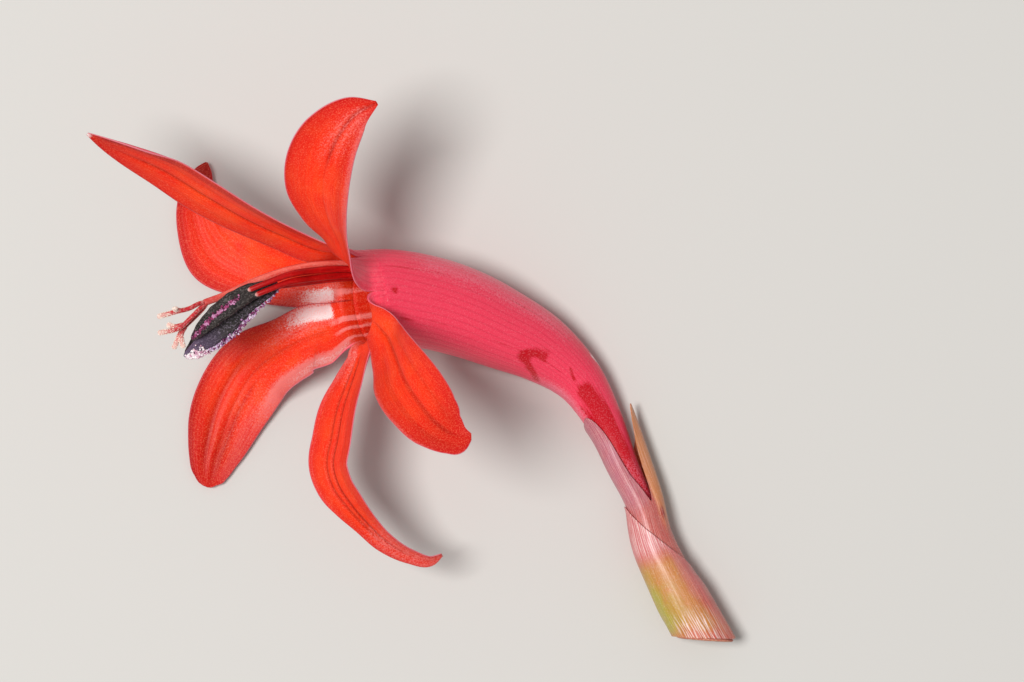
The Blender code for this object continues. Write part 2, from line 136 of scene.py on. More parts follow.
@cache
def axisFrame(place):
    # The axis's point, the way it runs, and the two directions across it: up, and to angle 90
    mouth = -unit(np.array(flowerAxis["mouthWay"]))
    along = unit(mix(mouth, axisLine.way(place), ease(place / flowerAxis["mouthBend"])))
    up = squared(skyward, along)
    return axisLine.at(place)[:3], along, up, np.cross(up, along)


def roundAxis(place, angles, radii):
    centre, _, up, side = axisFrame(place)
    around = np.cos(angles)[:, None] * up + np.sin(angles)[:, None] * side
    return centre + np.asarray(radii)[..., None] * around


def toScene(points):
    return (np.asarray(points) + mouthPlace) * mm


def patches(marks, x, y):
    # Soft-edged marks: each runs from x0 to x1, fading over two lengths, and from y0 to y1
    total = np.zeros(np.broadcast(x, y).shape)
    for x0, x1, fadeIn, fadeOut, y0, y1, fadeAcross, strength in marks:
        along = ease((x - x0) / fadeIn + 0.5) * ease((x1 - x) / fadeOut + 0.5)
        across = ease((y - y0) / fadeAcross + 0.5) * ease((y1 - y) / fadeAcross + 0.5)
        total = total + strength * along * across
    return total


# Mesh making: a grid whose rows are bent into place one by one


def growGrid(name, surface, skinPlace, marks, size, skins, wall=None, closed=False):
    # surface, skinPlace, marks and wall take a share u along and the places v from -1 to 1 across,
    # and give a row of points, map places, colour marks and thicknesses. The wall grows away from
    # the side that the faces look to.
    rows, columns = (max(8, round(count * detail)) for count in size)
    mesh = bpy.data.meshes.new(name)
    bm = bmesh.new()
    bmesh.ops.create_grid(bm, x_segments=columns, y_segments=rows, size=1)
    skinMap = bm.loops.layers.uv.new("skinMap")
    marksLayer = bm.verts.layers.float_color.new("marks")
    wallLayer = bm.verts.layers.deform.verify()
    verts = sorted(bm.verts, key=lambda vert: (round(vert.co.y, 5), vert.co.x))
    across = np.linspace(-1, 1, columns + 1)
    shares = np.linspace(0, 1, rows + 1)
    thickest = max(wall(u, across).max() for u in shares) if wall else 0
    mapPlaces = {}
    for i, u in enumerate(shares):
        row = verts[i * (columns + 1):(i + 1) * (columns + 1)]
        places, colours = skinPlace(u, across), marks(u, across)
        points = toScene(surface(u, across))
        walls = wall(u, across) / thickest if wall else None
        for j, vert in enumerate(row):
            vert.co = points[j]
            vert[marksLayer] = colours[j]
            mapPlaces[vert] = places[j]
            if wall:
                vert[wallLayer][0] = walls[j]
    for face in bm.faces:
        for loop in face.loops:
            loop[skinMap].uv = mapPlaces[loop.vert]
    for vert in verts[:columns + 1]:
        for edge in vert.link_edges:
            edge.smooth = not edge.is_boundary
    if closed:
        bmesh.ops.remove_doubles(bm, verts=bm.verts, dist=mergeDistance)
    if closed and not wall:
        bmesh.ops.recalc_face_normals(bm, faces=bm.faces)
    bm.to_mesh(mesh)
    bm.free()
    piece = addPiece(name, mesh, skins)
    if wall:
        piece.vertex_groups.new(name="wall")
        solid = piece.modifiers.new("wall", "SOLIDIFY")
        solid.thickness = thickest * mm
        solid.vertex_group = "wall"
        solid.offset = -1
        solid.material_offset = 1
        solid.material_offset_rim = 1
    return piece


def addPiece(name, mesh, skins):
    for polygon in mesh.polygons:
        polygon.use_smooth = True
    piece = bpy.data.objects.new(name, mesh)
    for skin in skins:
        piece.data.materials.append(skin)
    bpy.context.scene.collection.objects.link(piece)
    return piece


def columnsOf(*values):
    # Puts values side by side as the numbers of a row of points
    return np.stack(np.broadcast_arrays(*values), axis=-1)


def acrossLine(line, spot):
    # The line's point and the two directions across it: to its side, and up
    way = line.way(spot)
    up = squared(skyward, way)
    return line.at(spot)[:3], np.cross(up, way), up


def oval(width, height, angle):
    return width * np.sin(angle), height * np.cos(angle)


def onRod(line, section, share, angle, lift):
    # The point on a rod's skin, or that much further out or in
    centre, side, up = acrossLine(line, share * line.length)
    across, rise = section(share, angle)
    return centre + lift * (np.multiply.outer(across, side) + np.multiply.outer(rise, up))


def growRod(name, points, section, size, skins, cap=0.0):
    # A round closed body along a line of points. section takes a share of the length and angles round
    # it (0 looks up) and gives the two offsets in mm; cap is the length in mm in which an end rounds
    # off, with rows close together, or 0 for rows that crowd towards both ends.
    line = route(points)
    capRows = 0.12  # the share of the rows in each cap

    def spread(u):
        if not cap:
            return (1 - math.cos(math.pi * u)) / 2
        inCap = cap / line.length
        if min(u, 1 - u) >= capRows:
            return mix(inCap, 1 - inCap, (u - capRows) / (1 - 2 * capRows))
        share = inCap * (1 - math.cos(min(u, 1 - u) / capRows * math.pi / 2))
        return share if u < 0.5 else 1 - share

    def surface(u, v):
        share = spread(u)
        left = 1 - min(min(share, 1 - share) * line.length / cap, 1.0) if cap else 0.0
        return onRod(line, section, share, math.pi * v, math.sqrt(max(0.0, 1 - left ** 2)))

    def marks(u, v):
        share = spread(u)
        sides = np.sin(math.pi * v) ** 4
        return columnsOf(share * line.length, (1 - share) * line.length, sides, share)

    def skinPlace(u, v):
        return columnsOf(spread(u) * line.length, v)

    return growGrid(name, surface, skinPlace, marks, size, skins, closed=True)


def settle(piece, node):
    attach(piece, "root")
    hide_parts(node)


# Material making


def hexColour(code):
    # sRGB hex to the linear colour that a shader takes
    channels = [int(code[i:i + 2], 16) / 255 for i in (1, 3, 5)]
    linear = [c / 12.92 if c <= 0.04045 else ((c + 0.055) / 1.055) ** 2.4 for c in channels]
    return (*linear, 1.0)


def setInputs(tree, node, inputs):
    # An input is a number, a hex colour, another node's output, or another node for its first output.
    # Sockets go by name or number: in a Map Range 0 is the value, 1 and 2 its range, 3 and 4 what it
    # becomes; in a Mix 0 is the level and 6 and 7 the colours; in a Mapping 3 is the scale.
    for key, value in inputs.items():
        if isinstance(value, bpy.types.Node):
            value = value.outputs[0]
        if isinstance(value, bpy.types.NodeSocket):
            tree.links.new(value, node.inputs[key])
        else:
            node.inputs[key].default_value = hexColour(value) if isinstance(value, str) else value


def addNode(tree, kind, inputs=None, **settings):
    node = tree.nodes.new("ShaderNode" + kind)
    for key, value in settings.items():
        setattr(node, key, value)
    setInputs(tree, node, inputs or {})
    return node


def startSkin(name):
    # A new material, the way to add nodes to it, and the place on the object
    skin = bpy.data.materials.new(name)
    skin.use_nodes = True
    add = partial(addNode, skin.node_tree)
    return skin, add, add("TexCoord").outputs["Object"]


def skinMaps(add):
    # The map along and across a piece, its three marks, and the fourth, which is in their alpha
    drawn = add("Attribute", attribute_name="marks")
    marks = add("SeparateColor", {0: drawn.outputs["Color"]}).outputs
    return add("UVMap", uv_map="skinMap"), marks, drawn.outputs["Alpha"]


def finishSkin(skin, add, colour, layers, bumps, finish):
    # Each layer has a level and a colour, laid over what is there; each bump has a height, a strength
    # and a depth in mm; finish holds the shader's own values
    for level, paint in layers:
        colour = add("Mix", {0: level, 6: colour, 7: paint}, data_type="RGBA").outputs[2]
    relief = {}
    for height, strength, depth in bumps:
        bump = add("Bump", {"Height": height, "Strength": strength, "Distance": depth * mm, **relief})
        relief = {"Normal": bump}
    shader = skin.node_tree.nodes["Principled BSDF"]
    setInputs(skin.node_tree, shader, {"Base Color": colour, **relief, **finish})
    return skin


def petalSkin(name, look):
    # Fresh petal tissue: the skin's cells are tiny domes, which give the eye a velvety surface whose
    # fine sparkle is painted into the colour as glints, and thin veins run from the base to the tip.
    skin, add, place = startSkin(name)
    skinMap, marks, share = skinMaps(add)
    along, sector, _ = add("SeparateXYZ", {0: skinMap}).outputs
    pale, deep, blushAndHighlight = (add("Math", {0: mark, 1: look["marks"]}, operation="MULTIPLY") for mark in marks)
    # Streaks some 5 mm long and half a millimetre wide
    streakWay = add("Mapping", {0: skinMap, 3: (0.16, 4.0, 1.0)})
    streaks = add("TexNoise", {"Vector": streakWay, "Scale": 1.0, "Detail": 5.0, "Roughness": 0.65})
    # Clouds 3 mm wide, more orange inside and rosier outside
    clouds = add("TexNoise", {"Vector": place, "Scale": 330.0, "Detail": 2.0})
    # Veins, each a hair's width
    veinWay = add("Mapping", {0: skinMap, 3: (0.03, 1.0, 1.0)})
    waves = {"Distortion": 2.6, "Detail": 3.0, "Detail Scale": 1.2, "Detail Roughness": 0.6}
    veins = add("TexWave", {"Vector": veinWay, "Scale": look["veinScale"], **waves},
                bands_direction="Y").outputs["Fac"]
    vein = add("MapRange", {0: veins, 1: 0.3, 2: 0.0, 4: look["veinStrength"]})
    # Deep marks with ragged edges: bruises and bites, and painted shade in creases, in the throat and
    # along seams between tepals
    ragged = add("Math", {0: streaks, 1: look["ragged"], 2: deep}, operation="MULTIPLY_ADD")
    layers = [
        (add("MapRange", {0: streaks, 1: 0.3, 2: 0.7}), look["bright"]),
        (add("MapRange", {0: clouds, 1: 0.45, 2: 0.7, 4: look["cloudStrength"]}), look["cloud"]),
        (add("MapRange", {0: share, 1: look["tipStart"], 2: 1.0}), look["tip"]),
        (add("Math", {0: vein, 1: streaks}, operation="MULTIPLY"), look["vein"]),
        (add("MapRange", {0: ragged, 1: look["darkFrom"], 2: look["darkTo"]}), look["dark"]),
    ]
    # Blush marks, partly painted highlight and sheen, and pale marks break up into speckles of a tenth of
    # a millimetre where they thin out
    speckle = add("TexNoise", {"Vector": place, "Scale": 6200.0, "Detail": 3.0, "Roughness": 0.7})
    for mark, paint in ((blushAndHighlight, "blushAndHighlight"), (pale, "pale")):
        total = add("Math", {0: speckle, 1: 1.4, 2: mark}, operation="MULTIPLY_ADD")
        drawn = add("Math", {0: streaks, 1: 0.5, 2: total}, operation="MULTIPLY_ADD")
        layers.append((add("MapRange", {0: drawn, 1: 1.24, 2: 1.75}), look[paint]))
    # Painted shade deepens the colour towards the margin, and a painted sheen makes the thin margin
    # itself paler
    wrapped = add("Math", {0: sector, 1: 1.0, 2: -1.0}, operation="WRAP")
    aside = add("Math", {0: wrapped}, operation="ABSOLUTE")
    onPetal = add("MapRange", {0: along, 1: 0.5, 2: 4.0})
    for paint in ("shadeBand", "edge"):
        band = add("MapRange", {0: aside, 1: look[paint + "Start"], 2: 1.0, 4: look[paint + "Strength"]})
        layers.append((add("Math", {0: band, 1: onPetal}, operation="MULTIPLY"), look[paint]))
    # Painted glints of single cells: light specks drawn a tenth of a millimetre wide, twice their real
    # size, to show
    grain = add("TexNoise", {"Vector": place, "Scale": 9000.0, "Detail": 2.0})
    layers.append((add("MapRange", {0: grain, 1: 0.48, 2: 0.72, 4: look["glintPaint"]}), look["grain"]))
    bumps = ((veins, look["veinBump"], 0.04), (streaks, 0.35, 0.12), (grain, 0.5, 0.03))
    return finishSkin(skin, add, look["deep"], layers, bumps, {
        "Roughness": look["roughness"], "IOR": 1.4, "Specular IOR Level": look["specular"],
        "Sheen Weight": look["sheen"], "Sheen Roughness": 0.3, "Sheen Tint": look["sheenTint"],
    })


# Perianth

petalInsideLook = {
    "bright": "#FC3A10", "deep": "#EC1E08", "tip": "#D8160A", "tipStart": 0.6, "cloud": "#FF4C14",
    "cloudStrength": 0.6, "dark": "#8A0606", "blushAndHighlight": "#F4847E", "pale": "#FCE8E6", "marks": 1.0,
    "shadeBand": "#B80A1C", "shadeBandStart": 0.45, "shadeBandStrength": 0.55, "edge": "#CC8296",
    "edgeStart": 0.965, "edgeStrength": 0.3, "vein": "#C0140A", "veinScale": 3.1, "veinStrength": 0.3,
    "veinBump": 0.2, "grain": "#FF8060", "glintPaint": 0.4, "roughness": 0.42, "specular": 0.2,
    "sheen": 0.03, "sheenTint": "#FFB8B0", "ragged": 0.0, "darkFrom": 0.0, "darkTo": 1.0,
}
petalOutsideLook = {
    **petalInsideLook,
    "bright": "#FF4C66", "deep": "#F23450", "tip": "#EC4040", "tipStart": 0.25, "cloud": "#FF6A78",
    "dark": "#B00818", "blushAndHighlight": "#EFA6B2", "pale": "#F4D0D4", "marks": 0.15, "shadeBand": "#D02C4C",
    "shadeBandStart": 0.5, "shadeBandStrength": 0.3, "edge": "#D898A8", "edgeStart": 0.93, "edgeStrength": 0.5,
    "vein": "#C81C38", "veinScale": 1.1, "veinStrength": 0.5, "grain": "#FFA0AA", "glintPaint": 0.25,
    "roughness": 0.38, "specular": 0.35, "sheen": 0.2, "sheenTint": "#DCC8DA",
}
# A darker copy of the petals' inner skin for the tube's inside: painted shade in the deep throat
throatShadeLook = {**petalInsideLook, "bright": "#E4280E", "deep": "#CE1408", "cloud": "#E83410"}
petalInside = petalSkin("petalInside", petalInsideLook)
petalOutside = petalSkin("petalOutside", petalOutsideLook)
throatShadeSkin = petalSkin("throatShadeSkin", throatShadeLook)

# What the six tepals share; shares are of a tepal's length
petalCommon = {
    "wall": 0.4,  # at the rim
    "thinWall": 0.26,
    "thinning": 0.3,  # the share in which it gets thin
    "edgeWall": 0.1,
    "edgeFrom": 0.7,  # where across the wall gets thinner still
    "tipFrom": 0.9,
    "lipSlope": 0.7,
    "spread": (30, 30),  # degrees of the rim on its two sides
    "overlap": 1.02,  # of the width on the rim
    "rim": 1.15,  # how far behind the mouth the tepals begin
    "tubeRim": 0.75,  # and how far behind it the tube ends, round their bases
    "bury": 0.16,  # how deep they begin in the tube's wall
    "hold": 0.9,  # how far they go on joined
    "parting": 1.6,  # the length in which they part
    "foldShare": 0.25,
    "foldWidth": 0.3,
    "creaseFades": (0.1, 0.2),
    "creaseWidest": 0.35,  # of the width on that side
    "creaseShadeLine": 0.7,  # how wide its line of painted shade is, of the crease
    "ruffleFades": (0.3, 0.2),
    "sidePhase": 1.7,  # between the ruffles of the two sides
    "rollFade": 0.12,
    "rolls": (),
    "pale": (),
    "blushAndHighlight": (),
    "deep": (),
    "size": (140, 46),  # rows and columns of faces
}
# Pale streaks in the throat, which run on from the tube's inside into the tepals: each from and to a
# turn round the rim, and a strength
throatStreaks = ((213, 219, 0.7), (230, 236, 0.8), (243, 251, 0.85), (279, 286, 0.6))


def throatBands(turn, left, right):
    # The streaks as patches of the tepal that takes up so many degrees left and right of the turn
    bands = []
    for start, end, strength in throatStreaks:
        if -left < start - turn < right:
            across = [(angle - turn) / (left if angle < turn else right) for angle in (start, end)]
            bands.append((-1, 0.1, 0.1, 0.07, *across, 0.12, strength))
    return bands


# Where each tepal sits on the rim (in degrees), how far it has spread outwards where it passes the
# mouth, and its stations: the midrib's x, y, z, the way the inner face looks, the widths on its two
# sides, and how much the section cups (1/mm). A crease has a place v across, where it starts and
# ends, its depth and half width in mm, and its darkness, which is painted shade in the crease. A
# ruffle has a height in mm, waves along the length and a phase. A roll has its side, the v where it
# starts, the u from and to, and its radius. Marks, pale, blush or deep, are as patches() takes them:
# deep marks are partly the tissue's own deeper red and partly painted shade, and blush marks partly
# its own pink and partly painted highlight and sheen.
petals = {}
petals["tepal_dorsal"] = {
    "turn": 0,
    "fold": 3,
    "lip": 0.25,
    "stations": (
        (-3.3, 4.5, 1.4, (-0.2, -0.85, 0.45), 2.2, 2.2, 0.12),
        (-7.3, 6.0, 3.0, (-0.3, -0.78, 0.52), 2.4, 2.4, 0.06),
        (-11.0, 7.75, 4.5, (-0.32, -0.75, 0.57), 2.6, 2.7, 0.04),
        (-14.6, 9.85, 5.8, (-0.32, -0.72, 0.6), 2.75, 2.75, 0.04),
        (-18.3, 12.1, 7.0, (-0.32, -0.7, 0.62), 2.5, 2.4, 0.04),
        (-21.9, 13.7, 8.0, (-0.3, -0.7, 0.62), 1.6, 1.7, 0.06),
        (-24.3, 14.8, 8.6, (-0.25, -0.7, 0.64), 0.65, 0.8, 0.08),
        (-25.5, 15.5, 8.9, (-0.2, -0.7, 0.66), 0.15, 0.15, 0.0),
    ),
    "creases": ((-0.1, 0.12, 0.85, 0.16, 0.24, 0.55), (0.42, 0.2, 0.9, 0.05, 0.3, 0.15),
                (-0.65, 0.3, 0.7, 0.04, 0.3, 0.1)),
    "ruffle": (0.06, 2.0, 0.5),
    "rolls": ((1, 0.84, 0.76, 0.94, 0.2),),
    "pale": ((0.985, 1.2, 0.02, 0.1, -2, 2, 0.1, 0.7),),
    # This blush mark is a painted highlight: a thin lilac line along the upper margin
    "blushAndHighlight": ((0.2, 0.97, 0.2, 0.05, 0.96, 2, 0.08, 0.8),),
    "deep": ((0.2, 0.75, 0.2, 0.2, 0.66, 0.93, 0.15, 0.5), (0.9, 1.1, 0.12, 0.1, -2, 2, 0.3, 0.3),
             (0.72, 0.97, 0.1, 0.1, 0.6, 2, 0.1, 0.5)),
}
petals["tepal_upper_near"] = {
    "turn": 60,
    "spread": (30, 23),
    "fold": 8,
    "lip": 0.15,
    "stations": (
        (-0.8, 3.0, 5.2, (-0.79, -0.48, 0.06), 2.3, 2.35, 0.1),
        (-1.8, 5.2, 7.2, (-0.74, -0.46, 0.35), 2.4, 2.6, 0.06),
        (-2.8, 7.4, 9.1, (-0.66, -0.46, 0.55), 3.0, 3.0, 0.04),
        (-3.3, 9.8, 11.0, (-0.56, -0.46, 0.68), 3.6, 3.3, 0.04),
        (-2.9, 12.6, 12.8, (-0.48, -0.42, 0.77), 3.7, 3.1, 0.04),
        (-1.8, 15.1, 14.1, (-0.42, -0.38, 0.82), 3.1, 2.5, 0.05),
        (-0.1, 17.1, 14.8, (-0.38, -0.34, 0.86), 1.9, 1.6, 0.05),
        (2.0, 18.2, 14.9, (-0.3, -0.2, 0.9), 0.2, 0.2, 0.0),
    ),
    "creases": ((0.02, 0.12, 0.7, 0.05, 0.25, 0.15), (0.05, 0.68, 1.0, 0.22, 0.2, 0.7),
                (0.6, 0.25, 0.8, 0.06, 0.35, 0.12), (-0.5, 0.2, 0.8, 0.04, 0.4, 0.06)),
    "ruffle": (0.08, 2.2, 2.0),
    "rolls": ((-1, 0.9, 0.3, 0.95, 0.3),),
    # The last blush mark is a painted sheen: a pinkish strip along the right margin
    "blushAndHighlight": ((0.66, 0.98, 0.25, 0.1, -0.4, 0.1, 0.8, 0.4), (0.7, 0.98, 0.25, 0.1, 0.1, 0.7, 0.8, 0.4),
              (0.2, 0.95, 0.3, 0.1, 0.8, 2, 0.35, 0.65)),
    "deep": ((0.15, 0.9, 0.2, 0.2, 0.35, 0.7, 0.4, 0.15),),
}
petals["tepal_lower_near"] = {
    "turn": 120,
    "spread": (37, 24),
    "fold": 8,
    "lip": -0.2,
    "stations": (
        (2.75, -3.75, 5.35, (-0.75, 0.4, 0.45), 2.1, 2.3, 0.06),
        (3.4, -5.2, 7.5, (-0.79, 0.3, 0.53), 2.7, 2.9, 0.04),
        (4.4, -7.6, 10.6, (-0.6, 0.42, 0.65), 3.3, 3.15, 0.03),
        (5.9, -9.8, 13.2, (-0.45, 0.5, 0.72), 3.3, 3.1, 0.03),
        (7.6, -11.7, 15.2, (-0.42, 0.42, 0.8), 2.8, 2.7, 0.03),
        (9.2, -12.7, 16.4, (-0.4, 0.3, 0.86), 1.8, 2.0, 0.03),
        (10.1, -12.85, 16.8, (-0.4, 0.27, 0.87), 1.0, 1.7, 0.03),
        (10.8, -12.75, 17.0, (-0.4, 0.25, 0.88), 0.15, 0.5, 0.0),
    ),
    "creases": ((0.0, 0.1, 0.9, 0.16, 0.25, 0.5), (0.5, 0.25, 0.9, 0.1, 0.4, 0.2),
                (-0.45, 0.2, 0.85, 0.1, 0.4, 0.2)),
    "ruffle": (0.04, 2.0, 0.0),
    "blushAndHighlight": ((0.0, 0.08, 0.03, 0.06, -2, 2, 0.3, 0.4), (0.15, 0.9, 0.1, 0.1, 0.9, 2, 0.12, 0.5)),
    "deep": ((0.8, 1.1, 0.2, 0.1, -2, 2, 0.3, 0.25),),
}
petals["tepal_ventral"] = {
    "turn": 180,
    "spread": (36, 22),
    "fold": 10,
    "lip": 0.0,
    "stations": (
        (0.0, -5.45, 0.7, (-0.6, 0.55, 0.35), 2.2, 1.7, 0.12),
        (-0.8, -7.8, 1.3, (-0.75, 0.32, 0.58), 2.4, 2.1, 0.06),
        (-1.7, -10.7, 1.9, (-0.78, 0.2, 0.6), 3.0, 2.7, 0.04),
        (-2.2, -13.5, 2.2, (-0.77, 0.1, 0.62), 3.2, 2.8, 0.04),
        (-2.6, -15.9, 2.2, (-0.76, 0.02, 0.65), 3.1, 2.7, 0.04),
        (-2.1, -17.8, 2.1, (-0.7, -0.1, 0.68), 2.8, 2.4, 0.05),
        (-0.9, -19.7, 1.8, (-0.62, -0.2, 0.72), 2.3, 1.9, 0.06),
        (0.6, -21.5, 1.2, (-0.55, -0.28, 0.76), 1.7, 1.4, 0.07),
        (2.4, -23.3, 0.5, (-0.45, -0.4, 0.78), 1.4, 1.2, 0.08),
        (4.8, -24.7, -0.3, (-0.25, -0.55, 0.76), 1.0, 0.9, 0.08),
        (6.8, -25.2, -0.6, (0.0, -0.65, 0.7), 0.7, 0.6, 0.06),
        (7.9, -24.6, -0.6, (0.3, -0.7, 0.6), 0.2, 0.2, 0.0),
    ),
    "creases": ((0.0, 0.1, 0.85, 0.2, 0.22, 0.8), (0.3, 0.12, 0.8, 0.14, 0.22, 0.6),
                (-0.5, 0.2, 0.7, 0.08, 0.35, 0.2)),
    "ruffle": (0.04, 2.5, 1.0),
    "rolls": ((1, 0.84, 0.1, 0.7, 0.35),),
    "pale": ((0.06, 0.12, 0.05, 0.14, 0.3, 0.9, 0.3, 0.3),),
    "blushAndHighlight": ((0.03, 0.2, 0.05, 0.25, 0.2, 2, 0.5, 0.5), (0.0, 0.5, 0.05, 0.4, 0.8, 2, 0.2, 0.2),
              (0.7, 1.1, 0.2, 0.1, -2, 2, 0.3, 0.45)),
}
petals["tepal_lower_far"] = {
    "turn": 240,
    "spread": (38, 30),
    "fold": 4,
    "lip": 0.2,
    "stations": (
        (-2.8, -2.9, -4.1, (-0.1, 0.4, 0.9), 3.9, 2.7, 0.08),
        (-4.6, -3.4, -5.4, (0.0, 0.33, 0.94), 4.1, 3.05, 0.07),
        (-7.3, -4.65, -7.1, (0.05, 0.28, 0.96), 3.9, 3.0, 0.05),
        (-10.2, -6.7, -8.5, (0.05, 0.2, 0.97), 3.9, 3.9, 0.03),
        (-12.4, -10.0, -9.3, (0.02, 0.12, 0.99), 3.7, 4.0, 0.03),
        (-13.8, -13.6, -9.5, (0.0, 0.0, 1.0), 2.9, 3.4, 0.03),
        (-14.5, -15.8, -9.4, (0.0, -0.08, 1.0), 2.2, 2.5, 0.03),
        (-14.8, -17.3, -9.3, (0.0, -0.12, 0.99), 1.5, 1.7, 0.03),
        (-14.9, -18.0, -9.2, (0.0, -0.15, 0.98), 0.9, 0.95, 0.02),
        (-14.9, -18.3, -9.15, (0.0, -0.15, 0.98), 0.25, 0.25, 0.0),
    ),
    "creases": ((0.0, 0.15, 0.95, 0.12, 0.25, 0.25), (-0.2, 0.55, 0.95, 0.22, 0.45, 0.35),
                (0.38, 0.5, 0.92, 0.22, 0.45, 0.4), (-0.6, 0.2, 0.7, 0.1, 0.5, 0.1)),
    "ruffle": (0.12, 2.4, 2.0),
    "pale": ((0.1, 0.28, 0.03, 0.25, 0.42, 0.96, 0.3, 1.0),
             (0.06, 0.4, 0.06, 0.3, -0.98, -0.7, 0.2, 0.45)),
    "blushAndHighlight": ((0.06, 0.6, 0.06, 0.4, -2, -0.6, 0.3, 0.85), (0.1, 0.42, 0.03, 0.3, 0.1, 2, 0.6, 0.5),
              (0.15, 0.9, 0.2, 0.3, -2, 0.0, 0.6, 0.25), *throatBands(240, 38, 30)),
    # The third and fourth deep marks are painted shade: along the seam with the upper far tepal near the
    # base, and in the throat
    "deep": ((0.75, 1.1, 0.3, 0.1, -2, 2, 0.3, 0.25), (0.45, 1.1, 0.2, 0.1, 0.85, 2, 0.2, 0.5),
             (0.03, 0.5, 0.05, 0.1, 0.97, 2, 0.05, 0.8), (-1, 0.07, 0.1, 0.08, -2, 2, 0.3, 0.25)),
}
petals["tepal_upper_far"] = {
    "turn": 300,
    "fold": 4,
    "lip": 0.3,
    "stations": (
        (-2.8, 2.2, -4.1, (0.25, -0.4, 0.88), 2.75, 2.2, 0.14),
        (-4.6, 2.2, -5.4, (0.0, -0.28, 0.94), 3.0, 2.4, 0.09),
        (-7.4, 2.7, -7.0, (-0.12, -0.15, 0.97), 3.4, 2.8, 0.05),
        (-10.2, 3.8, -8.3, (-0.12, -0.05, 0.99), 4.0, 3.0, 0.03),
        (-12.8, 5.7, -9.1, (-0.05, 0.0, 1.0), 5.0, 2.9, 0.03),
        (-14.6, 8.3, -9.5, (0.0, 0.0, 1.0), 3.8, 2.0, 0.03),
        (-15.3, 11.2, -9.3, (0.0, 0.05, 0.99), 2.3, 0.8, 0.03),
        (-15.3, 12.8, -9.0, (0.0, 0.1, 0.98), 0.9, 0.5, 0.03),
        (-15.2, 13.4, -8.9, (0.0, 0.1, 0.98), 0.12, 0.12, 0.0),
    ),
    "creases": ((0.05, 0.15, 0.9, 0.06, 0.3, 0.1), (-0.5, 0.3, 0.85, 0.06, 0.5, 0.08)),
    "ruffle": (0.1, 2.2, 1.0),
    "pale": ((0.11, 0.25, 0.08, 0.16, -0.93, -0.4, 0.4, 0.85),),
    "blushAndHighlight": ((0.05, 0.38, 0.1, 0.25, -2, -0.1, 0.6, 0.5), *throatBands(300, 30, 30)),
    # The second, third and fourth deep marks are painted shade: over the tip, which lies deep behind the
    # dorsal tepal, along the seam with the lower far tepal near the base, and in the throat
    "deep": ((0.3, 1.1, 0.2, 0.1, -2, -0.8, 0.2, 0.3), (0.86, 1.1, 0.1, 0.1, -2, 2, 0.2, 0.8),
             (0.03, 0.5, 0.05, 0.1, -2, -0.96, 0.06, 0.9), (-1, 0.09, 0.1, 0.08, -2, 2, 0.3, 0.3)),
}


def buried(place):
    # How deep a tepal's inner face lies in the tube's wall, round whose end it begins
    start, end = petalCommon["tubeRim"], petalCommon["rim"]
    return petalCommon["bury"] * ease((place - start) / (end - start))


def petalShape(petal):
    # A function of u, from the rim to the tip, and the places v across, that gives a row of points of
    # the inner face; how much painted shade a row takes from its creases; and the tepal's length
    turn = math.radians(petal["turn"])
    angles = [math.radians(angle) for angle in petal["spread"]]
    centre, along, up, side = axisFrame(0.0)
    outward = math.cos(turn) * side + math.sin(turn) * up

    def joined(place, v):
        # On the tube's own round, and straight on in front of the mouth
        radius = axisLine.at(max(place, 0.0))[3] - petal["wall"] + buried(place)
        points = roundAxis(max(place, 0.0), math.pi / 2 - turn - v * np.where(v < 0, *angles), radius)
        return points + along * min(place, 0.0)

    lipRadius = flowerAxis["mouthRadius"] - petal["wall"] + petal["lip"]
    section = (*(lipRadius * angle * petal["overlap"] for angle in angles), 1 / lipRadius)
    lip = centre + outward * lipRadius
    stations = [
        (*joined(petal["rim"], np.zeros(1))[0], *-outward, *section),
        (*lip, *unit(-outward - petal["lipSlope"] * along), *section),
    ]
    for x, y, z, face, left, right, cup in petal["stations"]:
        stations.append((x, y, z, *face, left, right, cup))
    places = distances(stations)
    length = places[-1]
    curve = SmoothCurve(places / length, stations)
    fold = math.tan(math.radians(petal["fold"]))

    def inCreases(u, v, row, narrow=1.0):
        # How deep the creases are across a row, and how much painted shade lies in them
        widths = np.where(v < 0, row[6], row[7])
        fadeIn, fadeOut = petal["creaseFades"]
        deep, dark = 0 * v, 0 * v
        for middle, start, end, depth, width, paintedShade in petal["creases"]:
            fades = ease((u - start) / fadeIn + 0.5) * ease((end - u) / fadeOut + 0.5)
            width = narrow * min(width, petal["creaseWidest"] * widths.min())
            there = fades * bell((v - middle) * widths / width)
            deep, dark = deep + depth * there, dark + paintedShade * there
        return deep, dark

    def surface(u, v):
        row = curve.at(u)
        way = curve.way(u)
        face = squared(row[3:6], way)
        widths = np.where(v < 0, row[6], row[7])
        cup = max(row[8], 1e-4)
        reach = v * widths
        bent = np.hypot(reach, petal["foldWidth"]) - petal["foldWidth"]
        rise = (1 - np.cos(cup * reach)) / cup + fold * ease(u / petal["foldShare"]) * bent
        across = np.sin(cup * reach) / cup
        rise = rise - inCreases(u, v, row)[0]
        height, waves, phase = petal["ruffle"]
        fadeIn, fadeOut = petal["ruffleFades"]
        swing = np.sin(2 * math.pi * waves * u + phase + np.where(v > 0, petal["sidePhase"], 0.0))
        rise = rise + height * swing * abs(v) ** 3 * ease(u / fadeIn) * ease((1 - u) / fadeOut)
        fade = petal["rollFade"]
        for toSide, start, begin, end, radius in petal["rolls"]:
            rolled = np.maximum(v * toSide - start, 0) * widths
            angle = ease((u - begin) / fade + 0.5) * ease((end - u) / fade + 0.5) * rolled / radius
            across = across - toSide * rolled * (1 - np.sinc(angle / math.pi))
            rise = rise + rolled * angle / 2 * np.sinc(angle / (2 * math.pi)) ** 2
        free = row[:3] + across[:, None] * np.cross(way, face) + rise[:, None] * face
        parted = ease((u * length - petal["hold"]) / petal["parting"])
        return mix(joined(petal["rim"] - u * length, v), free, parted)

    def creaseShade(u, v):
        return inCreases(u, v, curve.at(u), petal["creaseShadeLine"])[1]

    return surface, creaseShade, length


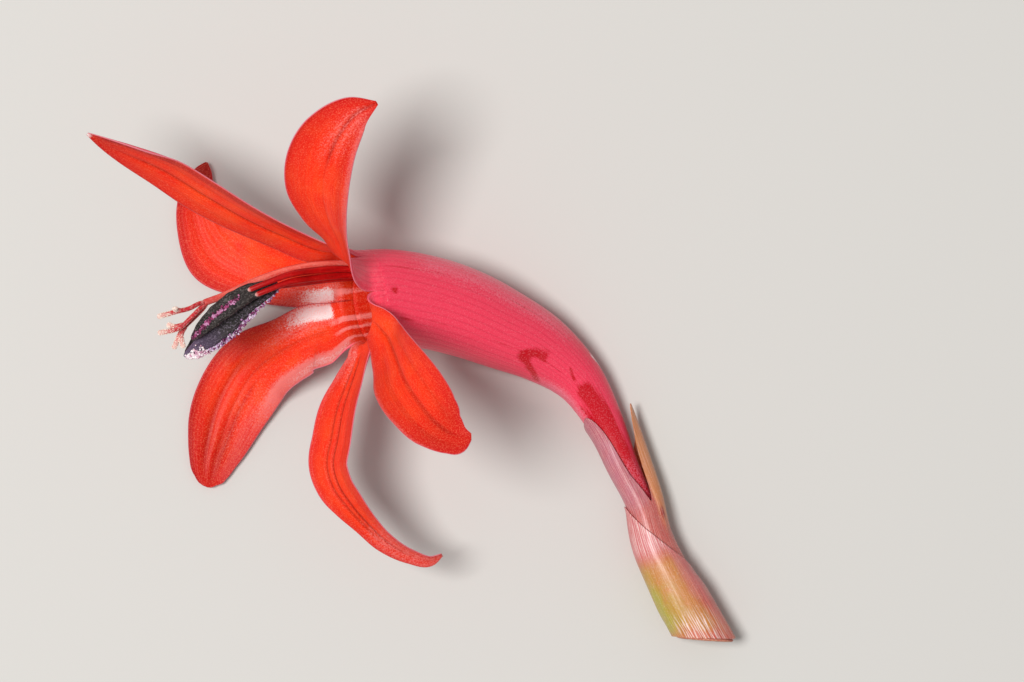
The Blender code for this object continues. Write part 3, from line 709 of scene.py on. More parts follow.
def makePetal(node, petal):
    surface, creaseShade, length = petalShape(petal)
    sector = (petal["turn"] + 90) % 360 / 30 - 3  # so that the skin goes on from the tube's

    def wall(u, v):
        begun = u * length
        middle = mix(petal["wall"], petal["thinWall"], ease(u / petal["thinning"]))
        edge = ease((abs(v) - petal["edgeFrom"]) / (1 - petal["edgeFrom"]))
        edge = edge * ease((begun - petal["hold"]) / petal["parting"])
        tip = ease((u - petal["tipFrom"]) / (1 - petal["tipFrom"]))
        return mix(middle, petal["edgeWall"], np.maximum(edge, tip)) - buried(petal["rim"] - begun)

    def marks(u, v):
        pale, deep, blushAndHighlight = (patches(petal[key], u, v) for key in ("pale", "deep", "blushAndHighlight"))
        # The deep mark takes in the creases' painted shade
        return columnsOf(pale, deep + creaseShade(u, v), blushAndHighlight, u)

    def skinPlace(u, v):
        return columnsOf(u * length, sector + v)

    piece = growGrid(node.replace("tepal", "petal"), surface, skinPlace, marks, petal["size"],
                     (petalInside, petalOutside), wall)
    settle(piece, node)


for node, petal in petals.items():
    makePetal(node, {**petalCommon, **petal})
print("tepals made")

# Perianth tube

# The tube's blush colour also paints its highlight patches
tubeSkin = petalSkin("tubeSkin", {
    **petalOutsideLook,
    "bright": "#FF4262", "deep": "#F42E4A", "tip": "#F03C58", "tipStart": 2.0, "cloud": "#FF6276",
    "dark": "#C4041A", "blushAndHighlight": "#F27C90", "pale": "#F6DADC", "marks": 1.0, "shadeBand": "#E8304C",
    "shadeBandStrength": 0.2, "edge": "#D08CA0", "edgeStart": 0.97, "edgeStrength": 0.3, "glintPaint": 0.2,
    "roughness": 0.34, "sheen": 0.1, "sheenTint": "#E8C8D4", "ragged": 1.2, "darkFrom": 0.85,
    "darkTo": 1.25,
})

# Bruises, creases and worn lines drawn on the tube: each has a half width in mm, a strength, and its
# points' place along the tube and degrees round it
tube = {
    "wall": 0.45,
    "endWall": 0.2,
    "tuck": 0.12,  # how much narrower its end is, between the tepals
    "endLength": 0.4,
    "baseGap": 6.6,  # from its lower end to the end of the axis, for the ovary and the receptacle
    "size": (220, 96),
    "deepLines": (
        (0.6, 0.75, ((17.0, -25), (17.3, -17), (18.2, -9), (19.4, -6))),
        (0.45, 0.8, ((17.6, -27), (18.6, -37), (19.8, -47), (20.7, -60))),
        (0.35, 0.5, ((26.7, -42), (28.0, -33), (29.7, -24), (31.0, -21))),
        (0.2, 0.7, ((22.6, 2), (23.6, -6))),
        (0.9, 1.1, ((25.4, -4), (27.4, 1), (30.0, 5), (32.6, 12), (35.0, 20), (37.2, 34))),
        (0.13, 0.8, ((0.9, 5), (1.7, 6))),
        (0.28, 0.8, ((1.9, 5), (2.0, 7))),
        (0.14, 0.45, ((1.0, 36), (7.6, 42), (14.7, 45), (21.0, 45))),
        (0.14, 0.45, ((2.5, -27), (8.2, -21), (16.5, -18), (22.0, -15))),
        (0.12, 0.35, ((2.0, 5), (9.0, 9), (16.0, 12))),
    ),
    "paleAndHighlightPatches": (  # the first two are a painted highlight, the last a paler lower tube: places from and to, fading, degrees from and to, fading, strength
        (3.5, 22, 6, 8, 30, 100, 50, 0.5),
        (20, 33, 6, 4, -110, -40, 30, 0.6),
        (33, 45, 4, 4, -180, 180, 10, 0.4),
    ),
    "paleLines": (
        (0.25, 0.8, ((0.8, -9), (0.9, -2))),
        (0.3, 0.9, ((23.5, 75), (24.7, 90))),
    ),
}


def drawnLines(lines, place, degrees):
    # How much a row of places round the tube lies on lines drawn along it
    scale = np.array([1.0, math.radians(axisLine.at(place)[3])])
    here = columnsOf(place, degrees) * scale
    total = np.zeros(len(degrees))
    for halfWidth, strength, points in lines:
        nearest = np.full(len(degrees), np.inf)
        points = np.array(points) * scale
        for start, end in zip(points, points[1:]):
            step = end - start
            share = np.clip((here - start) @ step / step.dot(step), 0, 1)
            nearest = np.minimum(nearest, np.linalg.norm(here - start - share[:, None] * step, axis=1))
        total += strength * bell(nearest / halfWidth)
    return total


def makeTube():
    first, last = petalCommon["tubeRim"], axisLength - tube["baseGap"]
    streaks = [(-2, 5, 1, 2, 90 - end, 90 - start, 4, strength) for start, end, strength in throatStreaks]

    def placeAt(u):
        return mix(first, last, u)

    def begun(u):
        return ease((placeAt(u) - first) / tube["endLength"])

    def surface(u, v):
        radius = axisLine.at(placeAt(u))[3] - tube["tuck"] * (1 - begun(u))
        return roundAxis(placeAt(u), -math.pi * v, radius)

    def wall(u, v):
        return mix(tube["endWall"], tube["wall"], begun(u)) + 0 * v

    def marks(u, v):
        place, degrees = placeAt(u), -180 * v
        # Pale patches: painted highlight, a paler lower tube, and the throat's own pale streaks
        paleAndHighlight = patches(tube["paleAndHighlightPatches"], place, degrees)
        paleAndHighlight = paleAndHighlight + patches(streaks, place, (degrees + 270) % 360 - 270)
        pale, deep = (drawnLines(tube[key], place, degrees) for key in ("paleLines", "deepLines"))
        return columnsOf(pale, deep, paleAndHighlight, u)

    def skinPlace(u, v):
        # A tepal's middle is every 2; the seam is on the far side
        return columnsOf(petalCommon["rim"] - placeAt(u), 3 + 6 * v)

    piece = growGrid("flowerTube", surface, skinPlace, marks, tube["size"], (tubeSkin, throatShadeSkin), wall,
                     closed=True)
    settle(piece, "perianth_tube")


makeTube()
print("tube made")

# Style and stamens

tissueLook = {
    "edgeStrength": 0.5, "grainStrength": 0.5, "streakScale": (0.4, 3.0, 1.0), "bump": 0.5,
    "roughness": 0.4,
}


def tissueSkin(name, ownLook):
    # Juicy tissue without the petals' velvet: a smooth wet-looking skin with lengthwise streaks, whose
    # colour changes towards its two ends.
    look = {**tissueLook, **ownLook}
    skin, add, place = startSkin(name)
    skinMap, marks, _ = skinMaps(add)
    streakWay = add("Mapping", {0: skinMap, 3: look["streakScale"]})
    streaks = add("TexNoise", {"Vector": streakWay, "Scale": 1.0, "Detail": 4.0, "Roughness": 0.6})
    layers = [
        (add("MapRange", {0: streaks, 1: 0.35, 2: 0.65}), look["bright"]),
        # On the style and filaments the sides' colour is painted shade
        (add("MapRange", {0: marks[2], 1: 0.35, 2: 0.95, 4: look["edgeStrength"]}), look["edge"]),
    ]
    for mark, end in zip(marks, ("start", "end")):
        paint, fadeFrom, fadeTo = look[end]
        rough = add("Math", {0: streaks, 1: fadeTo - fadeFrom, 2: mark}, operation="MULTIPLY_ADD")
        fade = {1: fadeFrom, 2: 1.6 * fadeTo - 0.6 * fadeFrom, 3: 1.0, 4: 0.0}
        layers.append((add("MapRange", {0: rough, **fade}), paint))
    grain = add("TexNoise", {"Vector": place, "Scale": 6000.0, "Detail": 3.0})
    layers.append((add("MapRange", {0: grain, 1: 0.5, 2: 0.75, 4: look["grainStrength"]}), look["grain"]))
    bumps = ((streaks, look["bump"], 0.08), (grain, look["bump"], 0.03))
    return finishSkin(skin, add, look["deep"], layers, bumps,
                      {"Roughness": look["roughness"], "IOR": 1.4, "Specular IOR Level": 0.35})


# Its edge colour is painted shade down the style's sides
styleSkin = tissueSkin("styleSkin", {
    "bright": "#F27868", "deep": "#DC4A40", "start": ("#E0A080", 5.0, 14.0), "end": ("#C83C40", 0.3, 2.0),
    "edge": "#C8302C", "edgeStrength": 0.6, "grain": "#FFB8AA", "grainStrength": 0.35, "bump": 0.35,
    "roughness": 0.34,
})
branchSkin = tissueSkin("branchSkin", {
    "bright": "#CC3038", "deep": "#A01420", "start": ("#D04848", 0.1, 0.5), "end": ("#E8BCB0", 0.5, 1.5),
    "edge": "#F0C8B4", "edgeStrength": 0.85, "grain": "#F4CFC4", "grainStrength": 0.6,
    "streakScale": (0.8, 3.0, 1.0), "roughness": 0.42,
})
# Its edge colour is painted shade down the filaments' sides
filamentSkin = tissueSkin("filamentSkin", {
    "bright": "#C81012", "deep": "#9A040A", "start": ("#C84038", 1.0, 4.0), "end": ("#F0C8C0", 0.05, 0.3),
    "edge": "#8A0408", "grain": "#E05040", "grainStrength": 0.25, "bump": 0.35,
})
antherSkin = tissueSkin("antherSkin", {
    "bright": "#3C3432", "deep": "#0C0A0A", "start": ("#4A2038", 0.3, 1.2), "end": ("#4A1C34", 0.2, 1.2),
    "edge": "#3A2238", "edgeStrength": 0.7, "grain": "#8C8480", "streakScale": (0.5, 22.0, 1.0),
    "bump": 1.0, "roughness": 0.72,
})
ripeAntherSkin = tissueSkin("ripeAntherSkin", {
    "bright": "#3E3838", "deep": "#12100F", "start": ("#4A2038", 0.3, 1.2), "end": ("#64506C", 1.5, 4.5),
    "edge": "#5A4860", "edgeStrength": 0.8, "grain": "#A090A4", "streakScale": (0.5, 22.0, 1.0),
    "bump": 1.0, "roughness": 0.72,
})
stigmaSkin = tissueSkin("stigmaSkin", {
    "bright": "#F6E6D8", "deep": "#E2C2B0", "start": ("#F6E6D8", 0.0, 0.1), "end": ("#F6E6D8", 0.0, 0.1),
    "edge": "#F6E6D8", "edgeStrength": 0.0, "grain": "#FFF8F0", "streakScale": (1.0, 3.0, 1.0),
    "roughness": 0.5,
})


def pollenSkin(name, codes):
    # Pollen grains: dry, waxy and of several colours on one anther, in cells about a grain wide
    skin, add, place = startSkin(name)
    cells = add("TexVoronoi", {"Vector": place, "Scale": 4200.0})
    ramp = add("ValToRGB", {0: add("SeparateColor", {0: cells.outputs["Color"]})})
    stops = ramp.color_ramp.elements
    while len(stops) < len(codes):
        stops.new(0.5)
    for i, code in enumerate(codes):
        stops[i].position = i / len(codes)
        stops[i].color = hexColour(code)
    grain = add("TexNoise", {"Vector": place, "Scale": 16000.0})
    return finishSkin(skin, add, ramp, (), ((grain, 0.6, 0.02),), {
        "Roughness": 0.75, "Subsurface Weight": 0.2, "Subsurface Radius": (1.0, 0.7, 0.8),
        "Subsurface Scale": 0.05 * mm,
    })


darkPollen = pollenSkin("darkPollen", ("#4A1230", "#641A42", "#8A2A58", "#A84478", "#C88AB0"))
palePollen = pollenSkin("palePollen", ("#5E2048", "#8A3A6C", "#A868A0", "#C89CC8", "#EADCEA"))
whitePollen = pollenSkin("whitePollen", ("#B87898", "#D8A8BC", "#EACAD4", "#F4E2E8", "#FFF4F4"))

style = {
    "radius": (0.33, 0.28),
    "cap": 0.3,
    "size": (240, 20),
    "line": (
        (29.7, -26.2, -7.3), (28.4, -23.2, -7.4), (27.3, -19.6, -7.6), (25.5, -15.9, -7.8),
        (23.5, -11.6, -7.9), (21.1, -7.7, -7.4), (17.3, -4.0, -6.5), (13.4, -1.3, -5.2),
        (9.0, 1.1, -3.6), (4.0, 2.9, -1.5), (-1.4, 3.4, 0.7), (-5.8, 3.0, 2.7),
        (-9.6, 1.8, 4.2), (-13.0, 0.2, 5.5), (-14.75, -0.45, 6.12),
    ),
}
# Each branch forks: its stem runs on as one arm, and the other arm stands off
branches = {
    "radius": (0.22, 0.17),
    "stigma": 1.15,  # how much wider they are at the stigma
    "cap": 0.18,
    "size": (44, 14),
    "papillaRadius": 0.045,
    "papillaSpread": (0.7, 1.3),
    "papillae": 170,  # on each arm
    "papillaeFrom": (0.62, 0.35),  # shares of the stem's and the arm's length
    "papillaeTo": 0.995,
    "lines": {
        "style_branch_1": (
            ((-14.5, -0.35, 6.12), (-15.0, -0.45, 6.4), (-16.0, -0.95, 6.9), (-17.2, -1.25, 7.2),
             (-19.0, -1.75, 7.4)),
            ((-16.7, -1.15, 7.05), (-17.2, -1.05, 7.5), (-17.3, -0.9, 8.2)),
        ),
        "style_branch_2": (
            ((-14.5, -0.5, 6.05), (-14.9, -0.85, 6.1), (-15.7, -1.65, 6.3), (-16.9, -2.75, 6.4),
             (-19.0, -3.3, 6.5)),
            ((-16.5, -2.45, 6.35), (-17.5, -2.65, 5.8), (-18.2, -2.45, 5.2)),
        ),
        "style_branch_3": (
            ((-14.4, -0.5, 5.95), (-14.75, -0.95, 5.7), (-15.6, -1.8, 5.5), (-16.6, -2.8, 5.3),
             (-17.6, -4.8, 5.2)),
            ((-16.4, -2.6, 5.35), (-16.8, -3.4, 5.6), (-16.6, -4.7, 5.9)),
        ),
    },
}
filaments = {
    "radius": 0.33,
    "tip": 0.75,  # how much thinner they are at the anther
    "tipFrom": 0.75,
    "cap": 0.4,
    "size": (120, 16),
    "lines": {
        "filament_1": ((11.5, -1.8, -1.3), (7.5, 0.2, 0.2), (3.6, 1.9, 0.9), (0.0, 2.75, 1.9),
                       (-4.4, 2.65, 4.6), (-7.0, 2.1, 7.2), (-8.8, 1.4, 7.8), (-10.4, 0.75, 7.9)),
        "filament_2": ((11.6, 1.3, -4.3), (8.0, 1.9, -2.3), (3.6, 2.3, -0.3), (0.0, 2.3, 1.15),
                       (-4.4, 1.95, 4.3), (-7.0, 1.4, 7.15), (-8.6, 0.75, 7.85), (-9.7, 0.3, 7.9)),
        "filament_3": ((11.5, -1.6, -7.6), (7.5, 0.4, -4.6), (3.6, 1.7, -1.9), (0.0, 2.05, -0.3),
                       (-5.8, 1.5, 1.9), (-9.4, 0.95, 2.7), (-11.6, 0.4, 2.95)),
    },
}
# Each anther's skin, its line, and its pollen: how many grains, from which share of the length, where
# round it (0 on top, 1 at the lower side), how far it strays, how thick it lies as a share of the
# section, and its skin
anthers = {
    "halfWidth": 0.98,
    "halfHeight": 0.62,
    "ends": 0.5,
    "furrow": (0.3, 0.3),  # the depth as a share, and the half width in radians
    "sideFurrow": (0.16, 0.2),
    "knobs": (0.03, 34),  # the height as a share, and the radians that they run along the length
    "fineKnobs": (0.02, 61),
    "size": (110, 48),
    "grainRadius": (0.06, 0.13),
    "pollenTo": 0.985,
    "pollenCrowd": 0.6,  # under 1 crowds it towards the tip
    "pieces": {
        "anther_1": (antherSkin, ((-7.6, 1.5, 6.7), (-10.8, 0.3, 6.9), (-13.6, -1.7, 6.8),
                                  (-15.8, -3.9, 6.5)), ((450, 0.38, 0.0, 0.13, 0.12, darkPollen),)),
        "anther_2": (ripeAntherSkin, ((-7.5, 1.2, 5.2), (-10.4, -0.4, 5.3), (-13.1, -3.0, 5.2),
                                      (-16.6, -5.5, 4.9)), ((900, 0.0, 0.9, 0.25, 0.5, palePollen),
                                                            (500, 0.8, 0.7, 0.5, 0.7, whitePollen))),
        "anther_3": (antherSkin, ((-8.0, 0.7, 3.4), (-11.0, -0.5, 3.4), (-14.0, -2.8, 3.3),
                                  (-16.6, -5.3, 3.1)), ((300, 0.6, 0.98, 0.3, 0.3, palePollen),)),
    },
}


def scatterGrains(name, spots, skin):
    # Many grains as one piece: each has a centre and a radius, in mm
    mesh = bpy.data.meshes.new(name)
    bm = bmesh.new()
    for centre, radius in spots:
        bmesh.ops.create_icosphere(bm, subdivisions=1, radius=radius * mm,
                                   matrix=Matrix.Translation(Vector(toScene(centre))))
    bm.to_mesh(mesh)
    bm.free()
    return addPiece(name, mesh, (skin,))


def branchSection(share, angle):
    wide, high = branches["radius"]
    return oval(mix(1.0, branches["stigma"], share) * wide, high, angle)


def makeStyle():
    piece = growRod("styleThread", style["line"], lambda share, angle: oval(*style["radius"], angle),
                    style["size"], (styleSkin,), style["cap"])
    settle(piece, "style")
    seeded = random.Random(3)
    for node, lines in branches["lines"].items():
        papillae = []
        for part, first, points in zip(("stem", "arm"), branches["papillaeFrom"], lines):
            piece = growRod(f"{node}_{part}", points, branchSection, branches["size"], (branchSkin,),
                            branches["cap"])
            settle(piece, node)
            line = route(points)
            for _ in range(branches["papillae"]):
                share = mix(first, branches["papillaeTo"], math.sqrt(seeded.random()))
                angle = seeded.uniform(0, 2 * math.pi)
                shrink = math.sqrt(min(1.0, (1 - share) * line.length / branches["cap"]))
                radius = branches["papillaRadius"] * seeded.uniform(*branches["papillaSpread"])
                papillae.append((onRod(line, branchSection, share, angle, shrink), radius))
        settle(scatterGrains(node + "_papillae", papillae, stigmaSkin), node)


def filamentSection(share, angle):
    tip = ease((share - filaments["tipFrom"]) / (1 - filaments["tipFrom"]))
    radius = filaments["radius"] * mix(1.0, filaments["tip"], tip)
    return oval(radius, radius, angle)


def antherSection(share, angle):
    # Two pollen sacs side by side, with a furrow above, one below and one along each side
    size = max(0.0, math.sin(math.pi * share)) ** anthers["ends"]
    turned = angle % math.pi
    (depth, width), (sideDepth, sideWidth) = anthers["furrow"], anthers["sideFurrow"]
    furrows = depth * (bell((turned - math.pi) / width) + bell(turned / width))
    furrows = furrows + sideDepth * bell((turned - math.pi / 2) / sideWidth)
    (high, waves), (fineHigh, fineWaves) = anthers["knobs"], anthers["fineKnobs"]
    knobs = 1 + high * np.sin(waves * share + 2 * np.sin(angle))
    knobs = knobs + fineHigh * np.sin(fineWaves * share + angle)
    boxy = (np.abs(np.sin(angle)) ** 4 + np.abs(np.cos(angle)) ** 4) ** -0.2
    size = size * (1 - furrows) * knobs * boxy
    return oval(anthers["halfWidth"] * size, anthers["halfHeight"] * size, angle)


def makeStamens():
    for node, points in filaments["lines"].items():
        piece = growRod(node + "_thread", points, filamentSection, filaments["size"], (filamentSkin,),
                        filaments["cap"])
        settle(piece, node)
    seeded = random.Random(7)
    for node, (antherTissue, points, pollen) in anthers["pieces"].items():
        piece = growRod(node + "_body", points, antherSection, anthers["size"], (antherTissue,))
        settle(piece, node)
        line = route(points)
        for i, (count, first, edgeWay, stray, thickness, skin) in enumerate(pollen):
            grains = []
            for _ in range(count):
                share = mix(first, anthers["pollenTo"], seeded.random() ** anthers["pollenCrowd"])
                angle = edgeWay * math.pi / 2 + seeded.gauss(0, stray)
                spot = onRod(line, antherSection, share, angle, 1 + seeded.random() * thickness)
                grains.append((spot, seeded.uniform(*anthers["grainRadius"])))
            settle(scatterGrains(f"{node}_pollen_{i + 1}", grains, skin), node)


makeStyle()
makeStamens()
print("style and stamens made")

# Bracts, ovary and receptacle


def bractSkin(name, look):
    # A bract's leathery skin: green where it lives, salmon and tan where it dries, with fine whitish
    # veins side by side and a waxy shine.
    skin, add, place = startSkin(name)
    skinMap, marks, fine = skinMaps(add)
    streakWay = add("Mapping", {0: skinMap, 3: (0.12, 14.0, 1.0)})
    streaks = add("TexNoise", {"Vector": streakWay, "Scale": 1.0, "Detail": 5.0, "Roughness": 0.7})
    clouds = add("TexNoise", {"Vector": place, "Scale": 600.0, "Detail": 3.0})
    layers = [(add("MapRange", {0: streaks, 1: 0.33, 2: 0.67}), look["bright"])]
    for mark, (dark, light) in zip(marks, look["marks"]):
        ragged = add("Math", {0: mark, 1: clouds}, operation="ADD")
        twoTone = add("Mix", {0: streaks, 6: dark, 7: light}, data_type="RGBA")
        layers.append((add("MapRange", {0: ragged, 1: 0.55, 2: 1.35}), twoTone.outputs[2]))
    # Whitish veins 0.2 mm apart; where the fine mark is strong they make a painted highlight
    lineWay = add("Mapping", {0: skinMap, 3: (0.02, 1.0, 1.0)})
    waves = {"Distortion": 9.0, "Detail": 3.0, "Detail Scale": 1.4, "Detail Roughness": 0.75}
    lines = add("TexWave", {"Vector": lineWay, "Scale": look["lineScale"], **waves},
                bands_direction="Y").outputs["Fac"]
    level = add("MapRange", {0: lines, 1: 0.55, 2: 0.95})
    strength = add("Math", {0: level, 1: fine}, operation="MULTIPLY")
    layers.append((add("Math", {0: strength, 1: streaks}, operation="MULTIPLY"), look["line"]))
    grain = add("TexNoise", {"Vector": place, "Scale": 7000.0, "Detail": 2.0})
    layers.append((add("MapRange", {0: grain, 1: 0.55, 2: 0.8, 4: 0.35}), look["line"]))
    bumps = ((lines, 0.15, 0.05), (streaks, 0.6, 0.15))
    return finishSkin(skin, add, look["deep"], layers, bumps, {
        "Roughness": 0.36, "Specular IOR Level": 0.35, "Coat Weight": 0.25, "Coat Roughness": 0.25,
    })


innerBractSkin = bractSkin("innerBractSkin", {
    "bright": "#D86A60", "deep": "#AE443E", "line": "#F0C4BC", "lineScale": 5.0,
    "marks": (("#B86030", "#E09A62"), ("#8C1C14", "#B83A2A"), ("#A04A60", "#CC7C88")),
})
outerBractSkin = bractSkin("outerBractSkin", {
    "bright": "#DC6A5C", "deep": "#B23E38", "line": "#F6DCD4", "lineScale": 5.0,
    "marks": (("#B8662C", "#D8964C"), ("#8E8A20", "#C0B83A"), ("#C05A64", "#E28C88")),
})

bractCommon = {
    "wall": 0.22,
    "edgeWall": 0.08,
    "edgeFrom": 0.6,
    "start": 0.32,
    "flareStart": 10.0,
    "flareLength": 12.0,
    "wrinkle": 0.05,
    "wrinkles": ((9, 0.35), (14, -0.5)),  # how many round it, and how they lean, in radians a mm
    "size": (120, 120),
}

# Each bract's inner radius by height over the base, its upper edge by degrees round it, and its marks
# as patches over heights and degrees: tan and the like in mark 1, 2 and 3 of its skin, and fine veins,
# which on the outer bract's base make a painted highlight
bracts = {}
bracts["inner_bract"] = {
    "skin": innerBractSkin,
    "bore": ((0.3, 1.72), (4.0, 1.72), (7.0, 1.55), (11.0, 1.4), (15.0, 1.3), (19.0, 1.55),
             (21.5, 1.72), (23.7, 1.98), (26.0, 2.2)),
    "edge": ((0, 17.6), (15, 16.0), (38, 14.7), (48, 15.9), (60, 20.0), (72, 22.7), (95, 23.7),
             (125, 20.5), (180, 18.5), (225, 20.5), (265, 23.0), (300, 24.3), (322, 24.7),
             (335, 23.8), (347, 21.6), (360, 17.6)),
    "tipAngle": 95,
    "tipFlare": 0.95,
    "first": ((12.5, 26, 4, 2, 48, 190, 20, 0.9),),
    "second": ((12.8, 13.8, 0.5, 0.5, 52, 66, 8, 1.0), (21.5, 26, 2, 2, -90, -30, 30, 0.55)),
    "third": ((14.5, 26, 5, 2, -170, 28, 30, 0.8),),
    "fine": ((8, 26, 4, 2, -170, 40, 30, 0.6), (8, 26, 4, 2, 40, 200, 10, 0.4)),
}
bracts["outer_bract"] = {
    "skin": outerBractSkin,
    "bore": ((0.3, 2.16), (4.0, 2.2), (7.0, 2.08), (11.0, 1.98), (13.0, 1.88), (15.0, 1.72),
             (17.0, 1.8)),
    "edge": ((0, 11.5), (50, 8.5), (90, 7.0), (140, 8.0), (200, 11.5), (260, 14.9), (275, 15.0),
             (310, 13.8), (360, 11.5)),
    "tipAngle": 268,
    "tipFlare": 0.0,
    "first": ((1.5, 9.5, 2, 4, -80, 35, 40, 0.95), (0, 3, 1, 2, -180, 180, 10, 0.25)),
    "second": ((0.5, 9.0, 2, 5, -190, -48, 50, 0.7), (1.5, 6.5, 3, 3, -60, -5, 50, 0.4)),
    "third": ((9.5, 16, 3, 1, -110, 40, 30, 0.9), (4, 10, 3, 3, 20, 90, 20, 0.5)),
    # The last fine patch is a painted highlight on the glossy base
    "fine": ((10.0, 16, 2, 1, -70, 40, 30, 1.5), (0, 9, 1, 3, -180, 180, 10, 0.15),
             (-1, 3.0, 1, 2, -40, 50, 40, 1.4)),
}

base = {
    "slant": 0.66,
    "slantHeight": 6.0,
    "seat": 1.8,  # the ovary's lower end
    "ovaryLength": 4.5,
    "ovaryRadius": 1.4,
    "ovaryLobes": 0.06,
    "ovaryEnds": 0.55,
    "ovarySize": (60, 48),
    # Height and radius, from the top's middle round to the picked scar's middle
    "profile": ((1.0, 0.0), (1.0, 1.2), (0.9, 1.5), (0.5, 1.6), (0.38, 1.9), (0.36, 2.2), (0.25, 2.32),
                (0.08, 2.28), (0.0, 2.1), (0.02, 1.9), (0.1, 1.5), (0.16, 0.8), (0.1, 0.4), (0.12, 0.0)),
    "torn": 0.05,  # how rough the scar is
    "tears": (11, 3, 7),  # how many round it, and how far and how often they swing
    "tornFrom": 0.68,
    "tornFade": 0.1,
    "discSize": (60, 72),
}


def slant(height, angle, radius):
    # How much further down the base runs, which sits slantwise on the spike's side
    return base["slant"] * np.sin(angle) * radius * (1 - ease(height / base["slantHeight"]))


def makeBract(node, bract):
    bore = SmoothCurve(*zip(*bract["bore"]))
    edge = SmoothCurve(*zip(*bract["edge"]))

    def heights(u, v):
        return np.array([mix(bract["start"], edge.at(180 * (1 - place))[0], u) for place in v])

    def wall(u, v):
        thinned = ease((u - bract["edgeFrom"]) / (1 - bract["edgeFrom"]))
        return mix(bract["wall"], bract["edgeWall"], thinned) + 0 * v

    def surface(u, v):
        angles = math.pi * (1 - v)
        flare = bract["tipFlare"] * np.maximum(0, np.cos(angles - math.radians(bract["tipAngle"]))) ** 4
        points = []
        for height, angle, spread, thick in zip(heights(u, v), angles, flare, wall(u, v)):
            flared = spread * ease((height - bract["flareStart"]) / bract["flareLength"])
            crinkle = sum(math.sin(count * angle + lean * height) for count, lean in bract["wrinkles"])
            radius = bore.at(height)[0] + thick + flared + abs(crinkle) * bract["wrinkle"] * (1 - u) ** 2
            lower = slant(height, angle, radius) * axisFrame(axisLength - height)[1]
            points.append(roundAxis(axisLength - height, np.array([angle]), radius)[0] + lower)
        return np.array(points)

    def skinPlace(u, v):
        return columnsOf(heights(u, v), 2 * (1 - v))

    def marks(u, v):
        degrees = (180 * (1 - v) + 180) % 360 - 180
        keys = ("first", "second", "third", "fine")
        return columnsOf(*(patches(bract[key], heights(u, v), degrees) for key in keys))

    piece = growGrid(node + "_sheet", surface, skinPlace, marks, bract["size"], (bract["skin"],) * 2,
                     wall, closed=True)
    settle(piece, node)


for node, bract in bracts.items():
    makeBract(node, {**bractCommon, **bract})

ovarySkin = tissueSkin("ovarySkin", {
    "bright": "#B8B858", "deep": "#8C9038", "start": ("#C8B880", 0.2, 1.2), "end": ("#C89060", 0.2, 1.2),
    "edge": "#98983C", "edgeStrength": 0.3, "grain": "#D8D890", "grainStrength": 0.4,
    "streakScale": (0.5, 3.0, 1.0), "bump": 0.4,
})
scarSkin = tissueSkin("scarSkin", {
    "bright": "#B8A468", "deep": "#86783C", "start": ("#C87060", 3.0, 3.4), "end": ("#6E4A2C", 0.2, 0.7),
    "edge": "#B8A468", "edgeStrength": 0.0, "grain": "#E6DAB0", "grainStrength": 0.6,
    "streakScale": (1.5, 6.0, 1.0), "bump": 1.0, "roughness": 0.6,
})


def ovarySection(share, angle):
    # Three chambers swell it
    size = base["ovaryRadius"] * max(0.0, math.sin(math.pi * share)) ** base["ovaryEnds"]
    size = size * (1 - base["ovaryLobes"] + base["ovaryLobes"] * np.cos(3 * angle))
    return oval(size, size, angle)


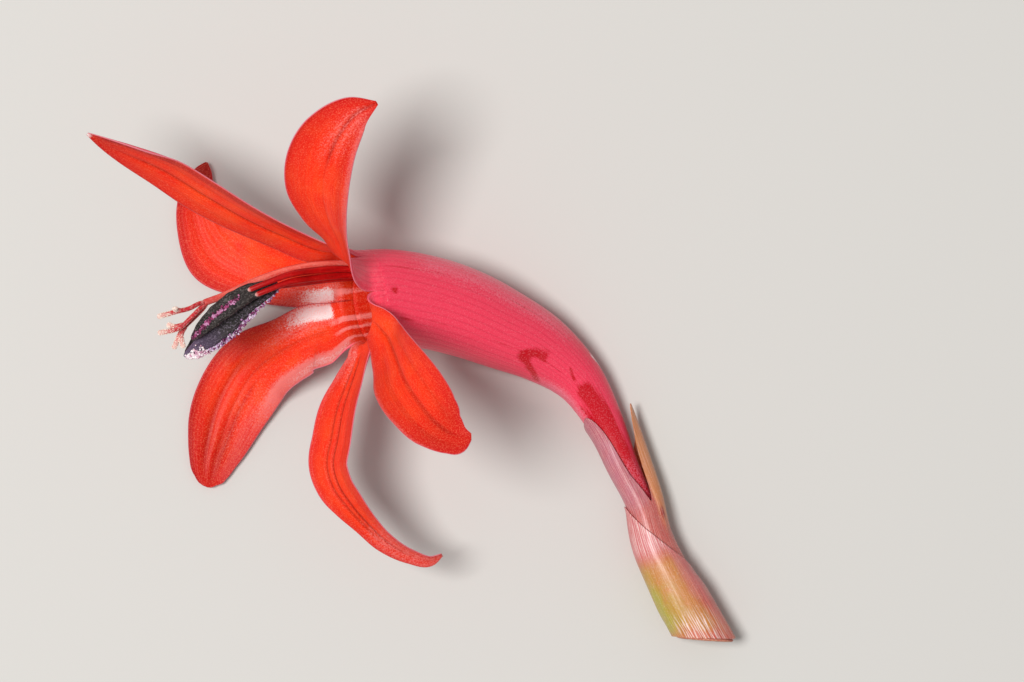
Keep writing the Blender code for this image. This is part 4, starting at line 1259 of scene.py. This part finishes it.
def makeBase():
    seat = axisLength - base["seat"]
    points = [axisLine.at(seat - base["ovaryLength"] * share)[:3] for share in (0, 0.35, 0.7, 1)]
    piece = growRod("ovary_body", points, ovarySection, base["ovarySize"], (ovarySkin,))
    settle(piece, "ovary")

    line = route([(radius, 0, height) for height, radius in base["profile"]])

    def surface(u, v):
        radius, _, height = line.at(u * line.length)
        radius = max(radius, 0.0)
        angles = -math.pi * v
        tears, swing, swings = base["tears"]
        torn = base["torn"] * np.sin(tears * angles + swing * math.sin(swings * u))
        fades = ease((u - base["tornFrom"]) / base["tornFade"]) * ease((1 - u) / base["tornFade"])
        lower = slant(height, angles, radius) - torn * fades
        points = roundAxis(axisLength - height, angles, radius)
        return points + lower[:, None] * axisFrame(axisLength - height)[1]

    def skinPlace(u, v):
        return columnsOf(u * line.length, v)

    def marks(u, v):
        return columnsOf(u * line.length, (1 - u) * line.length, 0 * v, u)

    piece = growGrid("receptacle_body", surface, skinPlace, marks, base["discSize"], (scarSkin,),
                     closed=True)
    settle(piece, "receptacle")


makeBase()
print("bracts and base made")

# Floor, light and camera

studio = {
    "floor": "#D2CFCA",
    "floorSize": 3.0,
    "worldColour": "#FFFFFF",
    "worldStrength": 0.36,
    "lampEnergy": 5.3,
    "lampSize": 0.26,
    "lampPlace": (-0.24, 0.02, 0.76),
    "cameraHeight": 546.0,  # over the mouth, in mm
    "cameraAside": (14.6, -4.03),
    "lens": 200,
    "sensor": 36,
    "clipStart": 0.01,
}


def floorSkin(name, code):
    # A matt painted board, which gives the eye an even pale ground
    skin = bpy.data.materials.new(name)
    skin.use_nodes = True
    shader = skin.node_tree.nodes["Principled BSDF"]
    setInputs(skin.node_tree, shader, {"Base Color": code, "Roughness": 0.9})
    return skin


def makeStudio():
    bpy.ops.mesh.primitive_plane_add(size=studio["floorSize"])
    floor = bpy.context.object
    floor.name = "floor"
    floor.data.materials.append(floorSkin("studioFloor", studio["floor"]))

    world = bpy.data.worlds.new("studioWorld")
    bpy.context.scene.world = world
    world.use_nodes = True
    setInputs(world.node_tree, world.node_tree.nodes["Background"],
              {"Color": studio["worldColour"], "Strength": studio["worldStrength"]})

    lamp = bpy.data.objects.new("softLamp", bpy.data.lights.new("softLamp", "AREA"))
    lamp.data.energy = studio["lampEnergy"]
    lamp.data.shape = "DISK"
    lamp.data.size = studio["lampSize"]
    lamp.location = studio["lampPlace"]
    lamp.rotation_mode = "QUATERNION"
    lamp.rotation_quaternion = (-Vector(studio["lampPlace"])).to_track_quat("-Z", "Y")
    bpy.context.scene.collection.objects.link(lamp)

    camera = bpy.data.objects.new("camera", bpy.data.cameras.new("camera"))
    camera.data.lens = studio["lens"]
    camera.data.sensor_width = studio["sensor"]
    camera.data.clip_start = studio["clipStart"]
    camera.location = toScene((*studio["cameraAside"], studio["cameraHeight"]))
    bpy.context.scene.collection.objects.link(camera)
    bpy.context.scene.camera = camera
    bpy.context.scene.view_settings.view_transform = "Standard"


makeStudio()
print("studio made")
